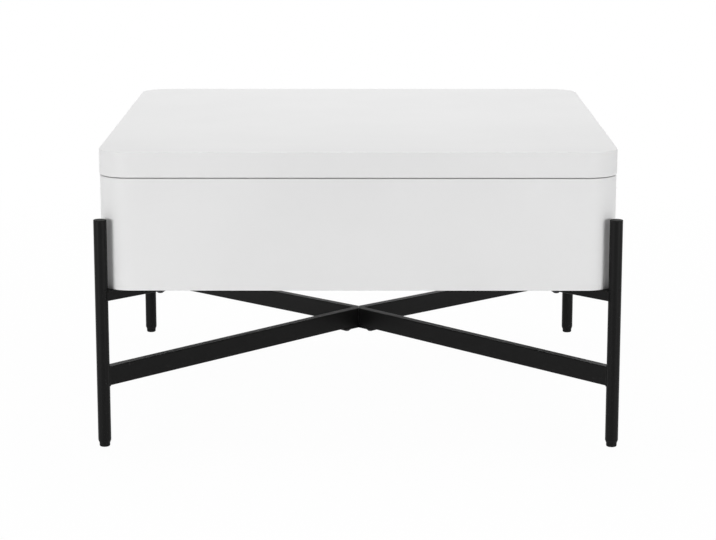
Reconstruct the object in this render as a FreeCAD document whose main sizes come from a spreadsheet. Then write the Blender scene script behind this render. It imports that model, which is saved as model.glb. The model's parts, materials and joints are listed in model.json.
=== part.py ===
import FreeCAD, Part
import math
import os
import Sketcher
from FreeCAD import Placement, Rotation, Vector

# Square lift-top coffee table: a lacquered box with a thick lid, carried between four round-tube legs.
# Frame: +Z up, origin on the floor under the middle of the table, -Y towards the front. Millimetres.

# Driving dimensions
SIZES = [
    ("leg_diameter", 20, "round leg tube"),
    ("leg_gap", 5.64, "clear space between a leg and the rounded corner of the case"),
    ("leg_wall", 1.5, "leg tube wall"),
    ("leg_rise", 109, "leg top above the underside of the case"),
    ("case_width", 786, "case over its outside faces, both ways"),
    ("case_lift", 245, "floor to the underside of the case"),
    ("case_height", 172, "height of the case walls"),
    ("case_wall", 18, "thickness of walls and corner posts"),
    ("case_corner", 48, "outside radius of the case corners"),
    ("floor_thickness", 15, "bottom panel"),
    ("fit_gap", 0.1, "gap round a piece that is pushed into another"),
    ("dowel_radius", 4, "dowel between wall and corner post"),
    ("dowel_length", 30, "the same, end to end"),
    ("dowel_inset", 40, "its axis from the upper and lower edge of the wall"),
    ("floor_dowel_radius", 3, "dowel between floor and wall"),
    ("floor_dowel_length", 24, "the same, end to end"),
    ("floor_dowel_bite", 10, "its length inside the wall"),
    ("floor_dowel_spacing", 250, "from one to the next along a wall"),
    ("lid_overhang", 1, "lid beyond the case, all round"),
    ("lid_seam", 1.5, "open seam between case and lid"),
    ("lid_edge_height", 20, "edge strip under the lid board"),
    ("lid_edge_width", 18, "the same, across"),
    ("lid_board_thickness", 18.5, "lid board"),
    ("lid_rounding", 2, "rounding of the upper edge of the lid"),
    ("bumper_radius", 5, "rubber dot on the rim"),
    ("plate_thickness", 3, "lift plate on the side wall"),
    ("plate_length", 212, "the same, front to back"),
    ("plate_height", 92, "the same, up and down"),
    ("plate_corner", 8, "radius of its corners"),
    ("arm_length", 200, "pivot to pivot"),
    ("arm_radius", 10, "rounded end, half the arm's width"),
    ("arm_thickness", 4, "arm plate"),
    ("arm_rest_angle", 15, "degrees above level, lid closed"),
    ("arm_swing", 110, "degrees from closed to raised"),
    ("pivot_spacing", 120, "front to rear pivot"),
    ("pivot_setback", 122, "front plate pivot behind the inside of the front wall"),
    ("pivot_drop", 79, "plate pivots below the rim of the case"),
    ("pivot_edge", 28, "plate pivots above the lower edge of the plate"),
    ("pin_radius", 4, "pivot and stop pins"),
    ("pin_head_radius", 6.5, "pivot pin head"),
    ("pin_head", 1.5, "thickness of that head"),
    ("run_gap", 0.05, "radial play of a pin in its bore"),
    ("swing_gap", 0.5, "sideways play between plate, arm and rail"),
    ("head_gap", 0.3, "play under a pin head, and between arm and stop"),
    ("stop_reach", 40, "stop pin from the pivot, along the raised arm"),
    ("rail_thickness", 3, "angle rail under the lid"),
    ("rail_length", 180, "the same, front to back"),
    ("rail_flange", 27, "its flange against the lid board"),
    ("rail_drop", 12, "its lower edge under the rail pivots"),
    ("screw_radius", 2, "wood screw shank"),
    ("screw_head_radius", 4, "wood screw head"),
    ("screw_head", 2, "height of that head"),
    ("screw_bite", 13, "wood screw inside the board"),
    ("screw_inset", 14, "screws from the ends and edges of plate and rail"),
    ("tube_height", 30, "rectangular tube, long side"),
    ("tube_width", 15, "the same, short side"),
    ("tube_wall", 1.5, "its wall"),
    ("tube_rounding", 1.5, "its outside corner radius"),
    ("weld_gap", 0.05, "between a coped tube end and the leg"),
    ("stretcher_lift", 95.5, "floor to the underside of the stretchers, at the legs"),
    ("stretcher_rise", 8, "how much higher they are in the middle"),
    ("bracket_length", 150, "leg axis to the inner end of a bracket"),
    ("bracket_bolt_reach", 116, "leg axis to the bracket bolt"),
    ("plug_flange", 2, "plug outside the bracket's end"),
    ("plug_depth", 12, "plugs inside bracket and leg"),
    ("connector_reach", 60, "cross connector from the middle"),
    ("cross_plate_reach", 41, "plate under the crossing, from the middle"),
    ("cross_plate_thickness", 3, "the same"),
    ("cross_bolt_reach", 28.3, "cross bolt from the middle"),
    ("cross_bolt_length", 18, "cross bolt under its head"),
    ("bolt_radius", 3, "bolt shank"),
    ("bolt_play", 0.25, "radial play of a bolt in a drilled wall"),
    ("bolt_flange_radius", 6.8, "flange of the bolt head"),
    ("bolt_flange", 1, "its thickness"),
    ("bolt_head_radius", 5.25, "button of the bolt head, at the flange"),
    ("bolt_crown_radius", 3.6, "the same, at its end"),
    ("bolt_head", 2.3, "height of the button"),
    ("bolt_socket_radius", 2.3, "hexagon socket, over its corners, halved"),
    ("bolt_socket_depth", 2, "hexagon socket"),
    ("washer_radius", 8.5, "bracket washer"),
    ("washer_thickness", 3, "the same"),
    ("insert_radius", 5, "threaded insert in the bottom panel"),
    ("insert_length", 13, "the same"),
    ("cap_thickness", 1.5, "leg cap above the tube"),
    ("foot_height", 5.5, "levelling foot under its collar"),
    ("foot_radius", 8.15, "the same"),
    ("foot_rounding", 2, "rounding of its lower edge"),
    ("collar_height", 5, "conical collar under the leg"),
    ("socket_depth", 20, "threaded plug inside the leg"),
    ("stud_radius", 4, "threaded stud of the foot"),
    ("stud_length", 22, "the same, above the foot"),
]

doc = FreeCAD.newDocument("lift_top_coffee_table")
sheet = doc.addObject("Spreadsheet::Sheet", "Sizes")
for row, (alias, value, note) in enumerate(SIZES, start=1):
    sheet.set(f"A{row}", note)
    sheet.set(f"B{row}", str(value))
    sheet.setAlias(f"B{row}", alias)
doc.recompute()


class SheetNames:
    """Gives the expression that reads a cell of the sheet: size.leg_wall is 'Sizes.leg_wall'."""

    def __getattr__(self, alias):
        return "Sizes." + alias


size = SheetNames()

# Places that several pieces share, as expressions on the sheet
leg_radius = f"({size.leg_diameter} / 2)"
leg_bore = f"({leg_radius} - {size.leg_wall})"
leg_foot = f"({size.foot_height} + {size.collar_height})"
leg_top = f"({size.case_lift} + {size.leg_rise} - {size.cap_thickness})"
case_half = f"({size.case_width} / 2)"
case_inside = f"({case_half} - {size.case_wall})"
case_middle = f"({case_half} - {size.case_wall} / 2)"
case_arc = f"({case_half} - {size.case_corner})"
case_rim = f"({size.case_lift} + {size.case_height})"
case_inner_corner = f"({size.case_corner} - {size.case_wall})"
leg_at = f"({case_arc} + ({size.case_corner} + {size.leg_gap} + {leg_radius}) / sqrt(2))"
diagonal = f"({leg_at} * sqrt(2))"
floor_half = f"({case_inside} - {size.fit_gap})"
floor_corner = f"({case_inner_corner} - {size.fit_gap})"
floor_middle = f"({size.case_lift} + {size.floor_thickness} / 2)"
lid_half = f"({case_half} + {size.lid_overhang})"
lid_corner = f"({size.case_corner} + {size.lid_overhang})"
lid_inside = f"({lid_half} - {size.lid_edge_width})"
lid_inner_corner = f"({lid_corner} - {size.lid_edge_width})"
lid_under = f"({case_rim} + {size.lid_seam})"
board_under = f"({lid_under} + {size.lid_edge_height})"

plate_inner = f"({case_inside} - {size.plate_thickness})"
arm_outer = f"({plate_inner} - {size.swing_gap})"
arm_inner = f"({arm_outer} - {size.arm_thickness})"
rail_outer = f"({arm_inner} - {size.swing_gap})"
rail_inner = f"({rail_outer} - {size.rail_thickness})"
rail_flange_end = f"({rail_outer} - {size.rail_flange})"
pivot_y = {
    "front": f"({size.pivot_setback} - {case_inside})",
    "rear": f"({size.pivot_setback} + {size.pivot_spacing} - {case_inside})",
}
pivot_z = f"({case_rim} - {size.pivot_drop})"
arm_run = f"({size.arm_length} * cos({size.arm_rest_angle}))"
arm_climb = f"({size.arm_length} * sin({size.arm_rest_angle}))"
rail_pivot_z = f"({pivot_z} + {arm_climb})"
rail_centre_y = f"({pivot_y['front']} + {size.pivot_spacing} / 2 + {arm_run})"
plate_centre_y = f"({pivot_y['front']} + {size.pivot_spacing} / 2)"
plate_under = f"({pivot_z} - {size.pivot_edge})"
plate_top = f"({plate_under} + {size.plate_height})"
pin_bore = f"({size.pin_radius} + {size.run_gap})"
screw_bore = f"({size.screw_radius} + {size.fit_gap})"
rail_screw_x = f"({rail_flange_end} + {size.screw_inset})"
plate_screw_y = [f"({plate_centre_y} {sign} ({size.plate_length} / 2 - {size.screw_inset}))" for sign in "-+"]
plate_screw_z = [f"({plate_under} + {size.screw_inset})", f"({plate_top} - {size.screw_inset})"]
rail_screw_y = [f"({rail_centre_y} {sign} ({size.rail_length} / 2 - {size.screw_inset}))" for sign in "-+"]

stretcher_middle = f"({size.stretcher_lift} + {size.stretcher_rise})"
connector_fall = f"({size.stretcher_rise} * {size.connector_reach} / {diagonal})"
connector_inset = f"({size.tube_wall} + {size.fit_gap})"
connector_width = f"({size.tube_width} / 2 - {connector_inset})"
connector_under = f"({stretcher_middle} + {connector_inset})"
connector_height = f"({size.tube_height} - 2 * {connector_inset} - {connector_fall})"
cross_plate_top = f"({stretcher_middle} - {size.stretcher_rise} * {size.cross_plate_reach} / {diagonal})"
cross_plate_under = f"({cross_plate_top} - {size.cross_plate_thickness})"
minus_cross_bolt = f"(-{size.cross_bolt_reach})"
cross_bolt_spots = [
    (size.cross_bolt_reach, "0"), (minus_cross_bolt, "0"), ("0", size.cross_bolt_reach), ("0", minus_cross_bolt),
]
bracket_under = f"({size.case_lift} - {size.tube_width})"
bracket_inner_end = f"({diagonal} - {size.bracket_length})"
bracket_bolt_at = f"({diagonal} - {size.bracket_bolt_reach})"
bolt_bore = f"({size.bolt_radius} + {size.bolt_play})"
bolt_thread_bore = f"({size.bolt_radius} + {size.run_gap})"

# Corners of the table: name, sign along X, sign along Y, direction of its diagonal in degrees
CORNERS = [
    ("front_left", -1, -1, -135),
    ("front_right", 1, -1, -45),
    ("back_left", -1, 1, 135),
    ("back_right", 1, 1, 45),
]
SIDES = [("left", -1), ("right", 1)]
ALONG = {
    "X": Rotation(Vector(0, 1, 0), 90),
    "Y": Rotation(Vector(1, 0, 0), -90),
    "Z": Rotation(),
}
pieces = []


def number(expression):
    return float(sheet.evalExpression(expression))


def keep(label, item):
    """Name a finished sub-part and put it on the list that is exported."""
    item.Label = label
    pieces.append(item)
    return item


def put(item, x="0", y="0", z="0"):
    for letter, expression in zip("xyz", (x, y, z)):
        item.setExpression("Placement.Base." + letter, expression)
    return item


def turn(item, degrees):
    item.Placement = Placement(Vector(), Rotation(Vector(0, 0, 1), degrees))
    return item


# Sketches and the features made from them
def new_sketch(body, plane, lift="0"):
    """Sketch on one of the body's own origin planes, lifted along that plane's normal."""
    sketch = body.newObject("Sketcher::SketchObject", body.Name + "_sketch")
    support = next(part for part in body.Origin.OriginFeatures if part.Role == plane + "_Plane")
    sketch.AttachmentSupport = [(support, "")]
    sketch.MapMode = "FlatFace"
    sketch.setExpression("AttachmentOffset.Base.z", lift)
    return sketch


def bind(sketch, rows):
    """Add (constraint, expression) pairs and tie each one to its expression."""
    first = sketch.ConstraintCount
    sketch.addConstraint([constraint for constraint, expression in rows])
    for index, (constraint, expression) in enumerate(rows):
        sketch.setExpression(f"Constraints[{first + index}]", expression)


def pin_down(geometry, position, x, y):
    """Rows that hold one point of the sketch at x, y."""
    return [
        (Sketcher.Constraint("DistanceX", -1, 1, geometry, position, number(x)), x),
        (Sketcher.Constraint("DistanceY", -1, 1, geometry, position, number(y)), y),
    ]


def circle(sketch, x, y, radius):
    centre = Vector(number(x), number(y), 0)
    index = sketch.addGeometry(Part.Circle(centre, Vector(0, 0, 1), number(radius)), False)
    rows = pin_down(index, 3, x, y)
    rows.append((Sketcher.Constraint("Radius", index, number(radius)), radius))
    bind(sketch, rows)


def arc_between(start, end, radius, left):
    """Arc of less than a half circle from start to end that bends to the left or to the right."""
    chord = end - start
    to_left = Vector(-chord.y, chord.x, 0).normalize() * (1 if left else -1)
    to_centre = math.sqrt(max(radius ** 2 - chord.Length ** 2 / 4, 0))
    centre = start + chord * 0.5 + to_left * to_centre
    first, last = (start, end) if left else (end, start)
    angles = [math.atan2(point.y - centre.y, point.x - centre.x) for point in (first, last)]
    return Part.ArcOfCircle(Part.Circle(centre, Vector(0, 0, 1), radius), *angles)


def outline(sketch, corners):
    """Closed outline. A corner is (x, y), or (x, y, radius, left) where an arc leads to the next one."""
    points = [Vector(number(corner[0]), number(corner[1]), 0) for corner in corners]
    rows = []
    ends = []
    for index, corner in enumerate(corners):
        start = points[index]
        end = points[(index + 1) % len(points)]
        if len(corner) == 2:
            geometry = sketch.addGeometry(Part.LineSegment(start, end), False)
            first, last = 1, 2
        else:
            radius, left = corner[2:]
            geometry = sketch.addGeometry(arc_between(start, end, number(radius), left), False)
            first, last = (1, 2) if left else (2, 1)
            rows.append((Sketcher.Constraint("Radius", geometry, number(radius)), radius))
        rows += pin_down(geometry, first, corner[0], corner[1])
        ends.append((geometry, first, last))
    for index, (geometry, first, last) in enumerate(ends):
        following, following_first, _ = ends[(index + 1) % len(ends)]
        sketch.addConstraint(Sketcher.Constraint("Coincident", geometry, last, following, following_first))
    bind(sketch, rows)


def rectangle(sketch, low_x, high_x, low_y, high_y):
    outline(sketch, [(low_x, low_y), (high_x, low_y), (high_x, high_y), (low_x, high_y)])


def rounded_rectangle(sketch, low_x, high_x, low_y, high_y, radius):
    left, right = f"({low_x} + {radius})", f"({high_x} - {radius})"
    lower, upper = f"({low_y} + {radius})", f"({high_y} - {radius})"
    outline(sketch, [
        (left, low_y), (right, low_y, radius, True),
        (high_x, lower), (high_x, upper, radius, True),
        (right, high_y), (left, high_y, radius, True),
        (low_x, upper), (low_x, lower, radius, True),
    ])


def pad(body, sketch, length, both_ways=False):
    feature = body.newObject("PartDesign::Pad", body.Name + "_pad")
    feature.Profile = sketch
    feature.SideType = "Symmetric" if both_ways else "One side"
    feature.setExpression("Length", length)
    return feature


def pocket(body, sketch, depth, ahead=False):
    """Cut to a depth behind the sketch, or ahead of it along its normal."""
    feature = body.newObject("PartDesign::Pocket", body.Name + "_pocket")
    feature.Profile = sketch
    feature.Reversed = ahead
    feature.setExpression("Length", depth)
    return feature


def cut_through(body, sketch):
    feature = body.newObject("PartDesign::Pocket", body.Name + "_through")
    feature.Profile = sketch
    feature.Type = "ThroughAll"
    feature.SideType = "Symmetric"
    return feature


def drill(body, plane, lift, spots, radius, depth, ahead=False):
    sketch = new_sketch(body, plane, lift)
    for x, y in spots:
        circle(sketch, x, y, radius)
    pocket(body, sketch, depth, ahead)


def drill_through(body, plane, spots, radius):
    sketch = new_sketch(body, plane)
    for x, y in spots:
        circle(sketch, x, y, radius)
    cut_through(body, sketch)


def new_body(label):
    return keep(label, doc.addObject("PartDesign::Body", label))


def revolved(name, corners):
    """Body turned about its own Z axis from an outline in radius and height."""
    body = doc.addObject("PartDesign::Body", name)
    sketch = new_sketch(body, "XZ")
    outline(sketch, corners)
    feature = body.newObject("PartDesign::Revolution", body.Name + "_turned")
    feature.Profile = sketch
    feature.ReferenceAxis = (sketch, ["V_Axis"])
    feature.Angle = 360
    return body


# Solids for small hardware, and groups of them
def cylinder(name, radius, height, x, y, z, along="Z"):
    item = doc.addObject("Part::Cylinder", name)
    item.setExpression("Radius", radius)
    item.setExpression("Height", height)
    item.Placement = Placement(Vector(), ALONG[along])
    return put(item, x, y, z)


def cone(name, first_radius, second_radius, height, x, y, z, along="Z"):
    item = doc.addObject("Part::Cone", name)
    item.setExpression("Radius1", first_radius)
    item.setExpression("Radius2", second_radius)
    item.setExpression("Height", height)
    item.Placement = Placement(Vector(), ALONG[along])
    return put(item, x, y, z)


def block(name, length, width, height, x, y, z):
    item = doc.addObject("Part::Box", name)
    item.setExpression("Length", length)
    item.setExpression("Width", width)
    item.setExpression("Height", height)
    return put(item, x, y, z)


def fuse(name, items):
    item = doc.addObject("Part::MultiFuse", name)
    item.Shapes = items
    item.Refine = True
    return item


def cut(name, base, tool):
    item = doc.addObject("Part::Cut", name)
    item.Base = base
    item.Tool = tool
    return item


def group(label, items):
    item = doc.addObject("Part::Compound", label)
    item.Links = items
    return keep(label, item)


# Case
dowel_heights = [
    f"({size.case_lift} + {size.dowel_inset})",
    f"({case_rim} - {size.dowel_inset})",
]
dowel_hole = f"({size.dowel_radius} + {size.fit_gap})"
dowel_hole_depth = f"({size.dowel_length} / 2 + {size.fit_gap})"
floor_dowel_hole = f"({size.floor_dowel_radius} + {size.fit_gap})"
floor_dowel_places = [f"(-{size.floor_dowel_spacing})", "0", size.floor_dowel_spacing]


def wall_panel(label, degrees, lift_side=0):
    """Front wall, turned to its own side of the case. Side walls also hold the lift plate's screws."""
    body = turn(new_body(label), degrees)
    sketch = new_sketch(body, "XY", size.case_lift)
    rectangle(sketch, f"(-{case_arc})", case_arc, f"(-{case_half})", f"(-{case_inside})")
    pad(body, sketch, size.case_height)
    ends = [(f"(-{case_middle})", height) for height in dowel_heights]
    drill(body, "YZ", case_arc, ends, dowel_hole, dowel_hole_depth)
    drill(body, "YZ", f"(-{case_arc})", ends, dowel_hole, dowel_hole_depth, ahead=True)
    floor_spots = [(place, floor_middle) for place in floor_dowel_places]
    bite = f"({size.floor_dowel_bite} + {size.fit_gap})"
    drill(body, "XZ", case_inside, floor_spots, floor_dowel_hole, bite, ahead=True)
    if lift_side:
        spots = [(f"({y} * {lift_side})", z) for y in plate_screw_y for z in plate_screw_z]
        drill(body, "XZ", case_inside, spots, screw_bore, f"({size.screw_bite} + {size.fit_gap})", ahead=True)


def corner_post(label, degrees):
    """Quarter-round corner, made at the front right and turned to its place."""
    body = turn(new_body(label), degrees)
    sketch = new_sketch(body, "XY", size.case_lift)
    outline(sketch, [
        (case_arc, f"(-{case_half})", size.case_corner, True),
        (case_half, f"(-{case_arc})"),
        (case_inside, f"(-{case_arc})", case_inner_corner, False),
        (case_arc, f"(-{case_inside})"),
    ])
    pad(body, sketch, size.case_height)
    front_spots = [(f"(-{case_middle})", height) for height in dowel_heights]
    side_spots = [(case_middle, height) for height in dowel_heights]
    drill(body, "YZ", case_arc, front_spots, dowel_hole, dowel_hole_depth, ahead=True)
    drill(body, "XZ", case_arc, side_spots, dowel_hole, dowel_hole_depth, ahead=True)


def bottom_panel():
    body = new_body("bottom_panel")
    sketch = new_sketch(body, "XY", size.case_lift)
    low = f"(-{floor_half})"
    rounded_rectangle(sketch, low, floor_half, low, floor_half, floor_corner)
    pad(body, sketch, size.floor_thickness)
    spots = [(place, floor_middle) for place in floor_dowel_places]
    depth = f"({size.floor_dowel_length} - {size.floor_dowel_bite})"
    for plane in ("XZ", "YZ"):
        drill(body, plane, floor_half, spots, floor_dowel_hole, depth)
        drill(body, plane, low, spots, floor_dowel_hole, depth, ahead=True)
    reach = f"({bracket_bolt_at} / sqrt(2))"
    inserts = [(f"({reach} * {x})", f"({reach} * {y})") for _, x, y, _ in CORNERS]
    insert_hole = f"({size.insert_radius} + {size.fit_gap})"
    drill(body, "XY", size.case_lift, inserts, insert_hole, size.insert_length, ahead=True)


def case_dowels():
    items = []
    start = f"({case_arc} - {size.dowel_length} / 2)"
    for sign in (-1, 1):
        for end in (-1, 1):
            low = start if end > 0 else f"(-{start} - {size.dowel_length})"
            for height in dowel_heights:
                name = f"wall_dowel_{len(items)}"
                middle = f"({case_middle} * {sign})"
                items.append(cylinder(name, size.dowel_radius, size.dowel_length, low, middle, height, "X"))
                items.append(cylinder(name, size.dowel_radius, size.dowel_length, middle, low, height, "Y"))
    group("case_dowels", items)


def floor_dowels():
    items = []
    outer = f"({case_inside} + {size.floor_dowel_bite})"
    for sign in (-1, 1):
        low = f"(-{outer})" if sign < 0 else f"({outer} - {size.floor_dowel_length})"
        for place in floor_dowel_places:
            name = f"floor_dowel_{len(items)}"
            sizes = (size.floor_dowel_radius, size.floor_dowel_length)
            items.append(cylinder(name, *sizes, low, place, floor_middle, "X"))
            items.append(cylinder(name, *sizes, place, low, floor_middle, "Y"))
    group("floor_dowels", items)


def lid_bumpers():
    reach = f"({case_arc} + ({size.case_corner} - {size.case_wall} / 2) / sqrt(2))"
    items = []
    for _, x, y, _ in CORNERS:
        spot = (f"({reach} * {x})", f"({reach} * {y})")
        items.append(cylinder("bumper", size.bumper_radius, size.lid_seam, *spot, case_rim))
    group("lid_bumpers", items)


wall_panel("front_panel", 0)
wall_panel("right_panel", 90, lift_side=1)
wall_panel("back_panel", 180)
wall_panel("left_panel", -90, lift_side=-1)
for corner, x_sign, y_sign, direction in CORNERS:
    corner_post("corner_post_" + corner, direction + 45)
bottom_panel()
case_dowels()
floor_dowels()
lid_bumpers()


# Lid
def lid_board():
    body = new_body("lid_board")
    sketch = new_sketch(body, "XY", board_under)
    low = f"(-{lid_half})"
    rounded_rectangle(sketch, low, lid_half, low, lid_half, lid_corner)
    board = pad(body, sketch, size.lid_board_thickness)
    doc.recompute()
    middle = number(f"{board_under} + {size.lid_board_thickness} / 2")
    upper_edges = [
        f"Edge{index}" for index, edge in enumerate(board.Shape.Edges, start=1) if edge.BoundBox.ZMin > middle
    ]
    rounding = body.newObject("PartDesign::Fillet", "lid_board_rounding")
    rounding.Base = (board, upper_edges)
    rounding.setExpression("Radius", size.lid_rounding)
    spots = [(f"({rail_screw_x} * {sign})", y) for _, sign in SIDES for y in rail_screw_y]
    drill(body, "XY", board_under, spots, screw_bore, f"({size.screw_bite} + {size.fit_gap})", ahead=True)


def lid_edge(label, degrees):
    """Front strip with mitred ends that follow the rounded corners, turned to its own side."""
    body = turn(new_body(label), degrees)
    sketch = new_sketch(body, "XY", lid_under)
    outer_mitre = f"({case_arc} + {lid_corner} / sqrt(2))"
    inner_mitre = f"({case_arc} + {lid_inner_corner} / sqrt(2))"
    outline(sketch, [
        (f"(-{outer_mitre})", f"(-{outer_mitre})", lid_corner, True),
        (f"(-{case_arc})", f"(-{lid_half})"),
        (case_arc, f"(-{lid_half})", lid_corner, True),
        (outer_mitre, f"(-{outer_mitre})"),
        (inner_mitre, f"(-{inner_mitre})", lid_inner_corner, False),
        (case_arc, f"(-{lid_inside})"),
        (f"(-{case_arc})", f"(-{lid_inside})", lid_inner_corner, False),
        (f"(-{inner_mitre})", f"(-{inner_mitre})"),
    ])
    pad(body, sketch, size.lid_edge_height)


lid_board()
for side, degrees in (("front", 0), ("right", 90), ("back", 180), ("left", -90)):
    lid_edge("lid_edge_" + side, degrees)


# Lift fitting: two parallel arms on each side wall carry the lid up and forwards and keep it level
def mirrored_start(side, near, far):
    """Where a slab between two distances from the middle plane starts on one side, going towards +X."""
    return near if side > 0 else f"(-{far})"


def lift_plate(label, side):
    body = new_body(label)
    sketch = new_sketch(body, "YZ", mirrored_start(side, plate_inner, case_inside))
    half = f"{size.plate_length} / 2"
    low, high = f"({plate_centre_y} - {half})", f"({plate_centre_y} + {half})"
    rounded_rectangle(sketch, low, high, plate_under, plate_top, size.plate_corner)
    pad(body, sketch, size.plate_thickness)
    drill_through(body, "YZ", [(y, pivot_z) for y in pivot_y.values()], pin_bore)
    spots = [(y, z) for y in plate_screw_y for z in plate_screw_z]
    drill_through(body, "YZ", spots, screw_bore)
    for y, z in spots:
        countersink(body, side, y, z)


def countersink(body, side, y, z):
    """Conical seat for a screw head, from the plate's inner face outwards."""
    seat = body.newObject("PartDesign::SubtractiveCone", body.Name + "_countersink")
    seat.setExpression("Radius1", f"{size.screw_head_radius} + {size.fit_gap}")
    seat.setExpression("Radius2", f"{size.screw_radius} + {size.fit_gap}")
    seat.setExpression("Height", size.screw_head)
    support = next(part for part in body.Origin.OriginFeatures if part.Role == "YZ_Plane")
    seat.AttachmentSupport = [(support, "")]
    seat.MapMode = "FlatFace"
    flip = Rotation(Vector(1, 0, 0), 0 if side > 0 else 180)
    seat.AttachmentOffset = Placement(Vector(), flip)
    for letter, expression in zip("xyz", (y, z, f"{plate_inner} * {side}")):
        seat.setExpression("AttachmentOffset.Base." + letter, expression)


def swing_arm(label, side, which):
    """Flat arm with round ends, drawn level along +Y from its plate pivot and tilted to its rest angle."""
    body = new_body(label)
    sketch = new_sketch(body, "YZ")
    low, far = f"(-{size.arm_radius})", f"({size.arm_length} + {size.arm_radius})"
    outline(sketch, [
        ("0", low), (size.arm_length, low, size.arm_radius, True),
        (far, "0", size.arm_radius, True), (size.arm_length, size.arm_radius),
        ("0", size.arm_radius, size.arm_radius, True), (low, "0", size.arm_radius, True),
    ])
    pad(body, sketch, size.arm_thickness)
    drill_through(body, "YZ", [("0", "0"), (size.arm_length, "0")], pin_bore)
    body.Placement = Placement(Vector(), Rotation(Vector(1, 0, 0), number(size.arm_rest_angle)))
    body.setExpression("Placement.Rotation.Angle", size.arm_rest_angle)
    put(body, mirrored_start(side, arm_inner, arm_outer), pivot_y[which], pivot_z)


def lid_rail(label, side):
    """Angle rail: one flange carries the arms' upper pivots, the other is screwed under the lid board."""
    body = new_body(label)
    sketch = new_sketch(body, "XZ", f"(-{rail_centre_y})")
    under = f"({rail_pivot_z} - {size.rail_drop})"
    shelf = f"({board_under} - {size.rail_thickness})"
    corners = [
        (rail_outer, under), (rail_outer, board_under), (rail_flange_end, board_under),
        (rail_flange_end, shelf), (rail_inner, shelf), (rail_inner, under),
    ]
    outline(sketch, [(f"({x} * {side})", z) for x, z in corners])
    pad(body, sketch, size.rail_length, both_ways=True)
    pivots = [(f"({y} + {arm_run})", rail_pivot_z) for y in pivot_y.values()]
    drill_through(body, "YZ", pivots, pin_bore)
    drill_through(body, "XY", [(f"({rail_screw_x} * {side})", y) for y in rail_screw_y], screw_bore)


def pivot_pin(side, y, z, head_near, head_far, shank_near, shank_far):
    """Round pin along X with a flat head, between distances from the middle plane."""
    parts = []
    for radius, near, far in (
        (size.pin_radius, shank_near, shank_far),
        (size.pin_head_radius, head_near, head_far),
    ):
        start = mirrored_start(side, near, far)
        parts.append(cylinder("pin_part", radius, f"({far} - {near})", start, y, z, "X"))
    return fuse("pivot_pin", parts)


def plate_pivot_pins():
    head_outer = f"({arm_inner} - {size.head_gap})"
    head_inner = f"({head_outer} - {size.pin_head})"
    group("plate_pivot_pins", [
        pivot_pin(side, y, pivot_z, head_inner, head_outer, head_inner, case_inside)
        for _, side in SIDES for y in pivot_y.values()
    ])


def rail_pivot_pins():
    head_inner = f"({arm_outer} + {size.head_gap})"
    head_outer = f"({head_inner} + {size.pin_head})"
    group("rail_pivot_pins", [
        pivot_pin(side, f"({y} + {arm_run})", rail_pivot_z, head_inner, head_outer, rail_inner, head_outer)
        for _, side in SIDES for y in pivot_y.values()
    ])


def stop_pins():
    """Pins on the plates that the raised front arms come to rest on."""
    raised = f"({size.arm_rest_angle} + {size.arm_swing})"
    aside = f"({size.arm_radius} + {size.pin_radius} + {size.head_gap})"
    y = f"({pivot_y['front']} + {size.stop_reach} * cos({raised}) - {aside} * sin({raised}))"
    z = f"({pivot_z} + {size.stop_reach} * sin({raised}) + {aside} * cos({raised}))"
    length = f"({plate_inner} - {arm_inner})"
    group("stop_pins", [
        cylinder("stop_pin", size.pin_radius, length, mirrored_start(side, arm_inner, plate_inner), y, z, "X")
        for _, side in SIDES
    ])


def plate_screws():
    """Countersunk screws, flush with the inner face of the lift plates."""
    items = []
    shank_end = f"({case_inside} + {size.screw_bite})"
    head_end = f"({plate_inner} + {size.screw_head})"
    for _, side in SIDES:
        wide_first = (size.screw_head_radius, size.screw_radius)
        radii = wide_first if side > 0 else tuple(reversed(wide_first))
        for y in plate_screw_y:
            for z in plate_screw_z:
                head_start = mirrored_start(side, plate_inner, head_end)
                shank_start = mirrored_start(side, plate_inner, shank_end)
                head = cone("screw_head", *radii, size.screw_head, head_start, y, z, "X")
                length = f"({shank_end} - {plate_inner})"
                shank = cylinder("screw_shank", size.screw_radius, length, shank_start, y, z, "X")
                items.append(fuse("plate_screw", [head, shank]))
    group("plate_screws", items)


def rail_screws():
    """Pan-head screws from the rail's flange up into the lid board."""
    items = []
    shelf = f"({board_under} - {size.rail_thickness})"
    for _, side in SIDES:
        x = f"({rail_screw_x} * {side})"
        for y in rail_screw_y:
            head_under = f"({shelf} - {size.screw_head})"
            head = cylinder("screw_head", size.screw_head_radius, size.screw_head, x, y, head_under)
            length = f"({size.rail_thickness} + {size.screw_bite})"
            shank = cylinder("screw_shank", size.screw_radius, length, x, y, shelf)
            items.append(fuse("rail_screw", [head, shank]))
    group("rail_screws", items)


for side_name, side in SIDES:
    lift_plate("lift_plate_" + side_name, side)
    swing_arm("front_arm_" + side_name, side, "front")
    swing_arm("rear_arm_" + side_name, side, "rear")
    lid_rail("lid_rail_" + side_name, side)
plate_pivot_pins()
rail_pivot_pins()
stop_pins()
plate_screws()
rail_screws()


# Base
def leg(label, x_sign, y_sign):
    body = new_body(label)
    sketch = new_sketch(body, "XY", leg_foot)
    circle(sketch, "0", "0", leg_radius)
    circle(sketch, "0", "0", leg_bore)
    pad(body, sketch, f"({leg_top} - {leg_foot})")
    put(body, f"({leg_at} * {x_sign})", f"({leg_at} * {y_sign})")


def tube_sketch(body, start, width, under, height):
    sketch = new_sketch(body, "YZ", start)
    half = f"({width} / 2)"
    rounded_rectangle(sketch, f"(-{half})", half, under, f"({under} + {height})", size.tube_rounding)
    return sketch


def tube(body, start, length, width, under, height):
    """Rectangular tube along the body's X axis."""
    sketch = tube_sketch(body, start, width, under, height)
    inner_half = f"({width} / 2 - {size.tube_wall})"
    lower, upper = f"({under} + {size.tube_wall})", f"({under} + {height} - {size.tube_wall})"
    rectangle(sketch, f"(-{inner_half})", inner_half, lower, upper)
    return pad(body, sketch, length)


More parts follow.
